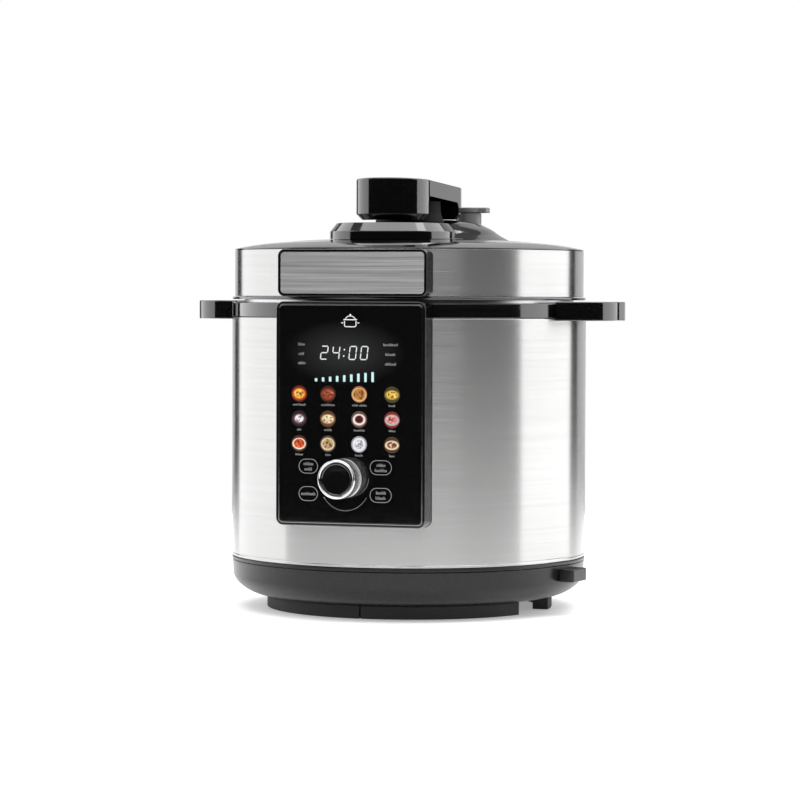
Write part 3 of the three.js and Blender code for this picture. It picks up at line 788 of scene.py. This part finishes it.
DISHES = [  # backdrop, dish, filling, garnish: colours; dish's width and height; filling's share of it
    ((92, 28, 14), (176, 62, 30), (236, 170, 60), (250, 214, 120), (5.4, 4.6), 0.78),
    ((60, 22, 14), (120, 60, 40), (150, 58, 36), (205, 120, 84), (5.2, 4.2), 0.85),
    ((150, 96, 60), (214, 176, 130), (190, 116, 54), (96, 116, 44), (5.5, 5.0), 0.82),
    ((64, 58, 30), (150, 128, 60), (226, 176, 66), (246, 220, 140), (5.4, 3.6), 0.80),
    ((28, 18, 20), (92, 60, 62), (226, 214, 220), (250, 246, 250), (4.9, 4.0), 0.70),
    ((84, 54, 34), (150, 110, 76), (222, 200, 160), (244, 230, 200), (5.4, 3.8), 0.82),
    ((96, 70, 62), (226, 218, 210), (110, 30, 26), (60, 16, 16), (4.9, 4.2), 0.66),
    ((120, 40, 34), (176, 176, 180), (214, 120, 110), (240, 190, 180), (5.3, 4.0), 0.74),
    ((70, 34, 22), (232, 214, 186), (206, 74, 40), (232, 120, 60), (5.2, 4.2), 0.80),
    ((80, 66, 50), (226, 208, 178), (200, 160, 110), (70, 46, 34), (5.1, 4.6), 0.80),
    ((150, 150, 156), (228, 228, 232), (206, 206, 212), (244, 244, 246), (5.0, 5.0), 0.70),
    ((70, 44, 30), (228, 206, 170), (150, 92, 54), (240, 226, 200), (5.2, 3.4), 0.72),
]


def make_dishes(face_y, columns, rows):
    """A grid of round pictures, each a plain dish of food on a dark cloth."""
    rng = random.Random(7)
    for index, (cloth, dish, filling, garnish, (w, h), share) in enumerate(DISHES):
        x, z = columns[index % len(columns)], rows[index // len(columns)]
        layers = [Print(face_y) for _ in range(5)]
        layers[0].area(ellipse((x, z), 6.0, 6.0, 48))
        layers[1].area(ellipse((x, z - 0.2), w, h, 48), 1)
        layers[2].area(ellipse((x, z), w * share, h * share, 40), 2)
        for k in range(16):
            angle, reach = rng.uniform(0, TAU), math.sqrt(rng.random()) * share * 0.82
            spot = (x + w * reach * math.cos(angle), z + h * reach * math.sin(angle))
            blob = ellipse(spot, rng.uniform(0.5, 1.15), rng.uniform(0.35, 0.7), 12, rng.uniform(0, math.pi))
            layers[3 if k % 2 else 4].area(blob, 3 if k % 2 else 4)
        shades = [cloth, dish, filling, garnish, tuple(int(c * 0.55) for c in filling)]
        for level, (layer, colour) in enumerate(zip(layers, shades)):
            name = f"dish_{index + 1}_{('cloth', 'dish', 'filling', 'garnish', 'shade')[level]}"
            # Every layer of the pictures glows a little: painted light on print.
            layer.piece(name, ink(name, linear(colour), 0.32, 0.45))


def print_clock(face_y):
    clock = Print(face_y)
    foot_z, colon = 191.2, (193.6, 198.2)
    for figure, x in (("2", -20.3), ("4", -11.3), ("0", 1.5), ("0", 10.2)):
        seven_segment(clock, figure, x, foot_z)
    for z in colon:
        clock.area(ellipse((-4.9 + (z - colon[0]) * SLANT, z), 0.62, 0.62, 16))
    clock.piece("clock_figures", ink("display_lit", linear((190, 195, 195)), 0.5, 0.05))

    levels = Print(face_y)
    bars, first_x, pitch, foot_z = 9, -26.1, 5.41, 175.0
    for k in range(bars):
        tall = 2.3 + 4.9 * k / (bars - 1)
        levels.area(rounded_rect(1.9, tall, 0.2, (first_x + pitch * k, foot_z + tall / 2), 3))
    levels.piece("level_bars", ink("level_lit", linear((168, 200, 199)), 0.55, 0.1))


def print_captions(face_y, columns, rows, look):
    """Captions beside the clock, and one under each picture."""
    captions = Print(face_y)
    beside = ((-37.4, ((202.0, 5.0), (195.1, 4.6), (188.4, 5.6))),
              (30.7, ((202.0, 11.4), (195.0, 8.0), (188.1, 8.6))))
    for x, lines in beside:
        for z, length in lines:
            words(captions, (x, z), 2.1, [length])
    under = ([4.2, 5.4], [4.8, 5.0], [4.6, 5.6], [5.4], [3.6], [5.8],
             [8.4], [5.0], [6.0], [4.0], [6.4], [4.4])
    for index, lengths in enumerate(under):
        spot = (columns[index % len(columns)], rows[index // len(columns)] - 7.9)
        words(captions, spot, 1.7, lengths, gap=0.5)
    captions.piece("caption_bars", look)


def print_pads(face_y, look, dot_look):
    """Four outlined pads with words in them, and the dial's row of dots."""
    pads = Print(face_y)
    left, right = -31.9, 23.6
    for x, w in ((left, 14.3), (right, 16.2)):
        for z in (113.3, 93.3):
            pads.line(rounded_rect(w, 10.2, 5.0, (x, z), 8), 0.3, closed=True)
    for x, z, length in ((left, 115.1, 7.6), (left, 111.3, 6.2), (left, 93.3, 11.2),
                         (right, 115.1, 6.6), (right, 111.3, 9.4), (right, 95.1, 7.4), (right, 91.3, 8.0)):
        words(pads, (x, z), 2.4, [length])
    pads.piece("touch_pads", look)

    marks = Print(face_y)
    dial_lo, dial_hi = span("dial_knob")
    centre = ((dial_lo.x + dial_hi.x) / 2 + 1.2, 99.9)
    dots, reach, sweep = 22, 18.4, 120
    for k in range(dots):
        angle = math.radians(-90 + sweep * (k / (dots - 1) - 0.5))
        spot = (centre[0] + reach * math.cos(angle), centre[1] + reach * math.sin(angle))
        marks.area(ellipse(spot, 0.24, 0.24, 12))
    marks.piece("dial_dots", dot_look)


def make_print():
    face_y = span("panel_fascia")[0].y
    # The white and grey print glow: painted light on print, which is no lamp.
    white = ink("print_white", linear((205, 205, 203)), 0.5, 0.1)
    grey = ink("print_grey", linear((160, 160, 158)), 0.3, 0.1)
    columns, rows = (-39.0, -16.9, 7.0, 32.0), (166.0, 147.9, 129.8)
    print_clock(face_y)
    print_captions(face_y, columns, rows, grey)
    make_dishes(face_y, columns, rows)
    print_pads(face_y, grey, white)

    badge = Print(face_y)  # a plain pot pictogram
    badge.line([(-4.4, 219.0), (-4.4, 215.6), (-3.6, 214.8), (3.6, 214.8), (4.4, 215.6), (4.4, 219.0)], 0.7)
    badge.area(rounded_rect(10.6, 0.7, 0.3, (0, 219.9), 3))
    badge.line(arc((0, 218.2), 4.4, 30, 150, 14), 0.6)
    badge.area(ellipse((0, 223.4), 0.8, 0.6, 14))
    for x in (-6.1, 6.1):
        badge.area(rounded_rect(1.8, 0.7, 0.3, (x, 217.6), 3))
    badge.piece("pot_pictogram", white)


def make_dial():
    """A knurled metal knob with a bright ring and a black cap, made about Z and then faced forwards."""
    lo, hi = span("dial_knob")
    face_y = span("panel_fascia")[0].y
    r, length = (hi.x - lo.x) / 2, face_y - lo.y
    place = Matrix.Translation(Vector(((lo.x + hi.x) / 2, face_y, (lo.z + hi.z) / 2)) * MM)
    place = place @ Matrix.Rotation(math.pi / 2, 4, "X")
    ring_r, recess_r, recess_z, bore_r, bore_end = r - 0.3, 12.4, length - 1.7, 3.3, 12.6
    ridges, depth, sag, knurl = 56, 1.5, 1.2, (1.6, length - 3.0)
    middle, half = (knurl[0] + knurl[1]) / 2, (knurl[1] - knurl[0]) / 2

    def knurled(radius, z, angle):
        """Ridges with a barrel-shaped crest, and straight grooves between them."""
        if radius < r:
            return radius
        crest = sag * ((z - middle) / half) ** 2
        groove = (0.5 - 0.5 * math.cos(ridges * angle)) ** 0.8
        return radius - crest * (1 - groove) - depth * groove

    ring = lathe("dial_ring", rounded([
        (0, knurl[1] + 0.1), (ring_r, knurl[1] + 0.1, 0.3), (ring_r, length, 0.9), (recess_r, length, 0.9),
        (recess_r, recess_z), (0, recess_z)]))
    dress(moved(ring, place), "dial", "polished_metal", "dial_knob")

    crests = [(r, knurl[0] + 2 * half * k / 10) for k in range(11)]
    grip = lathe("dial_grip", [
        (0, bore_end), (bore_r, bore_end), (bore_r, 0.6), (ring_r - 0.3, 0.6), (ring_r, 0.9),
        (ring_r, knurl[0] - 0.2), *crests, (ring_r - 0.6, knurl[1] + 0.05), (0, knurl[1] + 0.05)],
        segments=ridges * 8, radius_at=knurled)
    dress(moved(grip, place), "dial", "polished_metal", look=KNURLED_METAL)

    cap_r = recess_r - GAP
    cap = lathe("dial_face", rounded([
        (0, recess_z + GAP), (cap_r, recess_z + GAP), (cap_r, length - 0.4, 0.3),
        (cap_r - 0.9, length - 0.4, 0.3), (cap_r - 1.4, length - 0.8, 0.4), (cap_r / 2, length - 0.95, 20),
        (0, length - 1.0)]),
        segments=SMALL_ROUND)
    dress(moved(cap, place), "dial", "gloss_black", "dial_cap")


# ---------------------------------------------------------------- hinge and cup at the back
def make_back():
    for node in ("hinge_bracket", "cup_mount"):
        dress(softened(node, 0.8), "root", "gloss_black", node)
    dress(softened("hinge_arm", 0.9), "lid", "gloss_black", "hinge_arm")

    lo, hi = span("hinge_pin")
    pin = prism("hinge_rod", arc(((lo.y + hi.y) / 2, (lo.z + hi.z) / 2), (hi.z - lo.z) / 2, 0, 352.5, 47),
                lo.x, hi.x, "side")
    dress(bevel(pin, 0.4), "root", "polished_metal", "hinge_pin")

    lo, hi = span("condensate_cup")
    wall, mid_y = 1.8, (lo.y + hi.y) / 2
    cup = bevel(prism("drip_cup", rounded_rect(hi.x - lo.x, hi.y - lo.y, 4, (0, mid_y)), lo.z, hi.z), 0.7)
    hollow = rounded_rect(hi.x - lo.x - 2 * wall, hi.y - lo.y - 2 * wall, 4 - wall, (0, mid_y))
    cut(cup, bevel(prism("tool", hollow, lo.z + 2, hi.z + 5), 0.6))
    dress(cup, "cup", "smoked_plastic", "condensate_cup")


# ---------------------------------------------------------------- lid
LID_TOP = [  # radius, height
    (9.2, 281.2), (40, 280.4), (75, 279.3), (94, 277.8), (112.5, 276.1), (124.6, 274.2), (131.2, 272.8),
]


def under_lid_top():
    """Everything under the lid's black top, with clearance, as a cutter for what stands on it."""
    top = [(r, z + GAP) for r, z in spline(LID_TOP, 4)]
    return lathe("tool", [(0, 150), (150, 150), (150, top[-1][1]), *reversed(top), (0, top[0][1])])


def valve_places():
    """Where the steam valve and the float valve stand, in plan."""
    places = []
    for node in ("steam_pipe", "float_valve"):
        lo, hi = span(node)
        places.append(((lo.x + hi.x) / 2, (lo.y + hi.y) / 2))
    return places


def make_lid():
    lo, hi = span("lid_cover")
    band_lo, band_hi = span("lid_band")
    r, low, edge_z = band_hi.x, band_lo.z, band_hi.z
    steam, floater = valve_places()
    inner_r, thick = 129.6, 2.9
    inside = [(inner_r, low + 0.3), (inner_r, 269.6), *[(q, z - thick) for q, z in reversed(LID_TOP[:5])]]
    cover = lathe("lid_top", [*spline(LID_TOP, 5), *rounded([
        LID_TOP[-1], (r + 0.1, 272.3, 0.5), (r + 0.1, edge_z + GAP, 0.2), (r - 1.1, edge_z + GAP, 0.2),
        (r - 1.1, low), (inner_r, low)])[1:], *inside])
    cut(cover, disc(5.5, 250, 300, steam), disc(4.2, 250, 300, floater))
    dress(cover, "lid", "gloss_black", "lid_cover")

    band = rounded([(r - 0.8, low, 0.2), (r, low, 0.35), (r, edge_z, 0.35), (r - 0.8, edge_z, 0.2)])
    dress(lathe("lid_steel_band", band, segments=FINE_ROUND), "lid", "brushed_steel", "lid_band")

    lo, hi = span("lid_rim")
    rim = rounded([(126.4, lo.z, 0.5), (hi.x, lo.z, 1.0), (hi.x, hi.z, 1.0), (126.4, hi.z, 0.5)])
    dress(lathe("lid_bead", rim, segments=FINE_ROUND), "lid", "gloss_black", "lid_rim")


def make_lid_plate():
    lo, hi = span("lid_plate_bezel")
    w, h, mid_z, border, depth = hi.x - lo.x, hi.z - lo.z, (lo.z + hi.z) / 2, 1.8, 1.1
    front, back, lid_r = lo.y, -118, span("lid_band")[1].x

    def outline(d):
        return rounded_rect(w - 2 * d, h - 2 * d, 5 - d, (0, mid_z), 12)

    bezel = bevel(prism("plate_bezel", outline(0), front, back, "front"), 0.5)
    cut(bezel, disc(lid_r + GAP, 200, 300, segments=FINE_ROUND),
        prism("tool", outline(border), front - 1, front + depth, "front"))
    dress(bezel, "lid", "gloss_black", "lid_plate_bezel")
    plate = prism("steel_plate", outline(border + GAP), front + 0.2, front + depth - GAP, "front")
    dress(bevel(plate, 0.15, 2), "lid", "brushed_steel", "lid_plate", look=PLATE_STEEL)


def make_pressure_lid():
    lo, hi = span("pressure_lid")
    steam, floater = valve_places()
    under = spline([(0, 241.2), (60, 240.4), (100, 239.2), (114, 238.2), (118.7, lo.z)])
    over = spline([(118.7, lo.z + 1.3), (114, 239.8), (100, 240.9), (60, 242.2), (0, hi.z)])
    plate = lathe("pressure_plate", [*under, (hi.x, lo.z + 0.6), *over])
    cut(plate, disc(2.5, 230, 250, steam), disc(3.6, 230, 250, floater))
    dress(plate, "lid", "pressed_aluminium", "pressure_lid")

    lo, hi = span("gasket")
    seal = lathe("sealing_ring", rounded([
        (111, lo.z, 0.5), (hi.x, lo.z, 1.0), (hi.x, hi.z, 0.9), (110, hi.z, 0.5), (110, hi.z - 1.2, 0.5),
        (115.6, hi.z - 1.2, 0.8), (115.6, lo.z + 1.2, 0.8), (111, lo.z + 1.2, 0.5)]))
    dress(seal, "lid", "silicone", "gasket")

    lo, hi = span("gasket_rack")
    wire_r, mid_z = (hi.z - lo.z) / 2, (lo.z + hi.z) / 2
    rack = lathe("seal_wire", [(112.6 + u, mid_z + v) for u, v in arc((0, 0), wire_r, 0, 330, 11)])
    dress(rack, "lid", "polished_metal", "gasket_rack")

    lo, hi = span("steam_filter")
    r, low, high, wall = (hi.x - lo.x) / 2, lo.z, hi.z, 1.4
    filter_cap = lathe("steam_strainer", rounded([
        (0, low), (r, low, 1.2), (r, high, 0.4), (r - wall, high, 0.4), (r - wall, low + wall, 0.6),
        (0, low + wall)]), steam, SMALL_ROUND)
    for count, reach in ((1, 0), (6, 3.6), (12, 7.2)):
        for k in range(count):
            a = TAU * k / count
            spot = (steam[0] + reach * math.cos(a), steam[1] + reach * math.sin(a))
            cut(filter_cap, disc(0.8, low - 1, low + 3, spot, 16))
    dress(filter_cap, "lid", "pressed_aluminium", "steam_filter")


LID_INSIDE_Z = 262  # foot of what stands on the lid, under its top


def plinth_form(d=0.0):
    """The round block under the handle, or a larger one to cut with."""
    lo, hi = span("lid_plinth")
    r, top = (hi.x - lo.x) / 2 + d, hi.z + d
    centre = (0, (lo.y + hi.y) / 2)
    return lathe("lid_plinth_block", rounded([
        (0, LID_INSIDE_Z), (r, LID_INSIDE_Z), (r, top - 6.5 - d * 0.6, 1.0), (r - 5.3, top, 0.8), (0, top)]),
        centre)


def make_plinth_and_deck():
    steam, floater = valve_places()
    bore_r = 9.2
    plinth = plinth_form()
    cut(plinth, under_lid_top(), disc(bore_r, 250, 320))
    dress(plinth, "lid", "gloss_black", "lid_plinth")

    lo, hi = span("lid_deck")
    r, centre_y, shoulder = (hi.x - lo.x) / 2, hi.y - (hi.x - lo.x) / 2, 279.8
    crown = spline([(r - 0.2, shoulder + 0.2), (58.7, 283.8), (52.7, 288), (46.8, 291), (40.8, 293.4),
                    (30.7, 295.2), (18.2, 295.7), (0, 295.8)])
    deck = lathe("lid_deck_dome", [(0, LID_INSIDE_Z), (r, LID_INSIDE_Z), (r, shoulder - 0.6), *crown],
                 (0, centre_y))
    neck_r = span("handle_neck")[1].x
    cut(deck, under_lid_top(), plinth_form(GAP), disc(bore_r, 250, 320),
        disc(neck_r + 2, span("lid_plinth")[1].z - 0.2, 330),
        disc(11, 286.3, 330, steam), disc(5.4, 250, 330, steam),
        disc(4.2, 250, 330, floater), disc(8, 290.6, 330, floater))
    dress(deck, "lid", "gloss_black", "lid_deck")


# ---------------------------------------------------------------- valves
def make_valves():
    steam, floater = valve_places()
    lo, hi = span("steam_valve_body")
    low, high = lo.z, hi.z
    stem = lathe("steam_valve_stem", rounded([
        (0, high - 1.7), (5.2, high - 1.7), (5.2, low, 0.3), (10, low, 0.8), (10, high, 0.3), (0, high)]),
        steam, SMALL_ROUND)
    dress(stem, "steam_valve", "grey_plastic", "steam_valve_body")

    lo, hi = span("steam_valve_cap")
    cap_r, tab, half = hi.y - steam[1], hi.x - steam[0], 5.5
    start = math.degrees(math.asin(half / cap_r))
    outline = arc(steam, cap_r, start, 360 - start, 60)
    tip = rounded([(steam[0], steam[1] - half), (steam[0] + tab, steam[1] - half, 1.2),
                   (steam[0] + tab, steam[1] + half, 1.2), (steam[0], steam[1] + half)])[1:-1]
    cap = bevel(prism("steam_valve_lever", outline + tip, lo.z, hi.z), 0.8, 3)
    dress(cap, "steam_valve", "grey_plastic", "steam_valve_cap")

    lo, hi = span("float_valve")
    pin = lathe("float_pin", rounded([
        (0, lo.z), (5.5, lo.z, 0.3), (5.5, lo.z + 1.6, 0.3), (3, lo.z + 1.6), (3, hi.z, 1.0), (0, hi.z)]),
        floater, SMALL_ROUND)
    dress(pin, "float", "polished_metal", "float_valve")
    lo, hi = span("float_seal")
    seal = rounded([(3.3, lo.z, 0.3), (5.2, lo.z, 0.4), (5.2, hi.z, 0.4), (3.3, hi.z, 0.3)])
    dress(lathe("float_ring", seal, floater, SMALL_ROUND), "float", "silicone", "float_seal")


# ---------------------------------------------------------------- handle
def make_handle():
    """A bar with round ends on two legs, its top sloping back, its lower edge cut away."""
    lo, hi = span("handle_grip")
    r, length = hi.x, hi.y - lo.y
    straight, chamfer, edge = length / 2 - r, 4.5, 1.1
    slope, front_z, rear_z, top_z = 0.04, lo.z, span("lid_deck")[1].z + GAP, hi.z
    mid_thick = (top_z - slope * length / 2) - (front_z + rear_z) / 2

    def stadium(inset):
        return arc((0, straight), r - inset, 0, 180, 32) + arc((0, -straight), r - inset, 180, 360, 32)

    levels = rounded([(chamfer + 4, 0), (chamfer, 0, 0.7), (0, chamfer, 0.9), (0, mid_thick, edge),
                      (chamfer + 4, mid_thick)], 6)
    rings = []
    for inset, height in levels:
        ring = []
        for x, y in stadium(inset):
            bottom = (front_z + rear_z) / 2 + (rear_z - front_z) * y / length
            top = top_z - slope * (length / 2 + y)
            ring.append((x, y, bottom + height if height < mid_thick / 2 else top - (mid_thick - height)))
        rings.append(ring)
    grip = loft("handle_bar", rings)
    front_y, rear_y, arch_z, arch_r = -41.5, 35, 310.5, 5
    arch = rounded([(front_y, 250), (rear_y, 250), (rear_y, arch_z - slope * rear_y, arch_r),
                    (front_y, arch_z - slope * front_y, arch_r)], 8)
    level_foot = box((-60, rear_y - 1, 250), (60, 80, rear_z + 0.05))
    cut(grip, prism("tool", arch, -60, 60, "side"), level_foot)
    dress(grip, "handle", "gloss_black", "handle_grip")

    lo, hi = span("handle_neck")
    bore, foot_r, low, high = 8.3, hi.x, lo.z, hi.z
    neck = lathe("handle_collar", rounded([
        (bore, low), (foot_r, low, 0.6), (foot_r, low + 2.1, 0.8), (foot_r - 2, low + 8, 6),
        (foot_r - 2.5, high), (bore, high)]))
    # The collar takes a duller, darker black as painted shade for the recess under the bar.
    dress(neck, "handle", "satin_black", "handle_neck", look=NECK_SHADE_BLACK)

    lo, hi = span("lock_ring")
    ring_r, low, high, wall = hi.x, lo.z, hi.z, 1.6
    lock = lathe("locking_ring", rounded([
        (ring_r - wall, low, 0.3), (ring_r, low, 0.3), (ring_r, high, 0.5), (ring_r - wall, high, 0.4)]))
    add_lugs(lock, 119.6, ring_r - 0.8, low, low + 2.5, 0.5)
    dress(lock, "handle", "pressed_aluminium", "lock_ring")


# ---------------------------------------------------------------- what keeps its CAD shape
def dress_kept_nodes():
    """Inner pieces keep their CAD meshes and take their slot's finish."""
    slots = {entry["node"]: entry["material_slot"] for entry in frame["record"]["subparts"]}
    for node, piece in frame["nodes"].items():
        if piece.hide_render:
            continue
        piece.data.materials.clear()
        piece.data.materials.append(LOOKS[slots[node]])
        piece.data.shade_smooth()
        piece.data.set_sharp_from_angle(angle=math.radians(35))


def squeeze_sensor_spring():
    """The coil under the temperature sensor gets a mesh of its own."""
    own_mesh(frame["nodes"]["sensor_spring"])


# ---------------------------------------------------------------- studio
def soft_box(name, azimuth, distance, height, width, tall, radiance, shape="RECTANGLE"):
    """A lit panel standing round the object. Azimuth is in degrees from the front, towards the right."""
    a, aim_height = math.radians(azimuth), 200
    place = Vector((distance * math.sin(a), -distance * math.cos(a), height)) * MM
    light = bpy.data.lights.new(name, "AREA")
    light.shape = shape
    light.size, light.size_y = width * MM, tall * MM
    share = math.pi / 4 if shape == "ELLIPSE" else 1
    light.energy = radiance * math.pi * light.size * light.size_y * share
    lamp = bpy.data.objects.new(name, light)
    lamp.location = place
    lamp.rotation_mode = "QUATERNION"
    lamp.rotation_quaternion = (Vector((0, 0, aim_height * MM)) - place).to_track_quat("-Z", "Y")
    lamp.visible_camera = False
    bpy.context.scene.collection.objects.link(lamp)


def make_world():
    """White behind the object; what the object mirrors is darker round the horizon."""
    world = bpy.data.worlds.new("studio")
    world.use_nodes = True
    bpy.context.scene.world = world
    tree = world.node_tree
    tree.nodes.clear()
    new, link = tree.nodes.new, tree.links.new
    height = new("ShaderNodeSeparateXYZ")
    link(new("ShaderNodeTexCoord").outputs["Generated"], height.inputs[0])
    ramp = new("ShaderNodeValToRGB")
    for stop, position, grey in zip(ramp.color_ramp.elements, (0.05, 0.8), (0.02, 0.25)):
        stop.position, stop.color = position, (grey, grey, grey, 1)
    link(height.outputs["Z"], ramp.inputs["Fac"])
    mirrored, seen = new("ShaderNodeBackground"), new("ShaderNodeBackground")
    link(ramp.outputs["Color"], mirrored.inputs["Color"])
    seen.inputs["Color"].default_value = (1, 1, 1, 1)
    mix = new("ShaderNodeMixShader")
    link(new("ShaderNodeLightPath").outputs["Is Camera Ray"], mix.inputs["Fac"])
    link(mirrored.outputs[0], mix.inputs[1])
    link(seen.outputs[0], mix.inputs[2])
    link(mix.outputs[0], new("ShaderNodeOutputWorld").inputs["Surface"])


def make_floor():
    """A round white floor, wide enough to fill the view below the object."""
    radius, sides = 1000, 144
    rim = arc((0, 0), radius, 0, 360 * (sides - 1) / sides, sides - 1)
    floor = mesh_object("floor", [(x, y, -0.2) for x, y in rim], [list(range(sides))])
    look = Look("white_floor", Roughness=0.6, Specular_IOR_Level=0.2, Emission_Color=(1, 1, 1, 1),
                Emission_Strength=0.3)
    look.feed(Base_Color=look.mix(look.noise(3, 2), (0.86, 0.86, 0.86), (0.9, 0.9, 0.9)))
    floor.data.materials.append(look.material)


def make_camera():
    azimuth, distance, eye, lens = 17.94, 2349, 239.1, 138.1
    aside, down, roll = 0.1667, 1.992, 0.206
    a = math.radians(azimuth)
    place = Vector((distance * math.sin(a), -distance * math.cos(a), eye)) * MM
    a += math.radians(aside)
    tilt, bank = math.radians(down), math.radians(roll)
    level, side = Vector((-math.sin(a), math.cos(a), 0)), Vector((math.cos(a), math.sin(a), 0))
    up = Vector((0, 0, 1))
    ahead = level * math.cos(tilt) - up * math.sin(tilt)
    above = up * math.cos(tilt) + level * math.sin(tilt)
    right = side * math.cos(bank) + above * math.sin(bank)
    above = above * math.cos(bank) - side * math.sin(bank)
    camera = bpy.data.objects.new("camera", bpy.data.cameras.new("camera"))
    camera.data.lens = lens
    camera.data.clip_start, camera.data.clip_end = 0.05, 50
    camera.matrix_world = Matrix.Translation(place) @ Matrix((right, above, -ahead)).transposed().to_4x4()
    bpy.context.scene.collection.objects.link(camera)
    bpy.context.scene.camera = camera


def make_studio():
    bpy.context.scene.view_settings.view_transform = "Standard"
    make_world()
    make_floor()
    make_camera()
    soft_box("right_box", 119, 2200, 1400, 2800, 3800, 2.3)
    soft_box("left_box", -95, 2200, 900, 2700, 2600, 1.8)
    soft_box("back_card_low", 190, 2600, 260, 3400, 720, 0.7)
    soft_box("back_card_high", 190, 2600, 1380, 3400, 1500, 0.46)
    soft_box("top_box", 18, 100, 2600, 3000, 3000, 3.0)
    soft_box("front_fill", -10, 2000, 1500, 8000, 1200, 1.4, shape="ELLIPSE")


FASCIA = lit_glass("panel_glass", (0.0015, 0.0015, 0.0017), (-4, 196), (46, 24), 0.032)
PLATE_STEEL = brushed_metal("plate_steel", (0.26, 0.26, 0.258), (0.66, 0.66, 0.657), 0.34, 0.8, 3600, 8)
KNURLED_METAL = polished_metal("knurled_metal", (0.8, 0.8, 0.81), 0.3, 0.4)
TRIM_METAL = polished_metal("trim_metal", (0.3, 0.295, 0.285), 0.12, 0.22)
# A near-black with little shine, a shade darker than the satin black: painted shade for the collar, which
# sits in the shade under the bar.
NECK_SHADE_BLACK = satin_plastic("neck_shade_black", (0.003, 0.003, 0.003), 0.6, gloss=0.1)

make_studio()
make_base()
make_feet()
make_accessory_lug()
make_mains_inlet()
make_drum()
make_top_ring()
make_side_handles()
make_well_and_pot()
make_panel()
make_print()
make_dial()
make_back()
make_lid()
make_lid_plate()
make_pressure_lid()
make_plinth_and_deck()
make_valves()
make_handle()
dress_kept_nodes()
squeeze_sensor_spring()
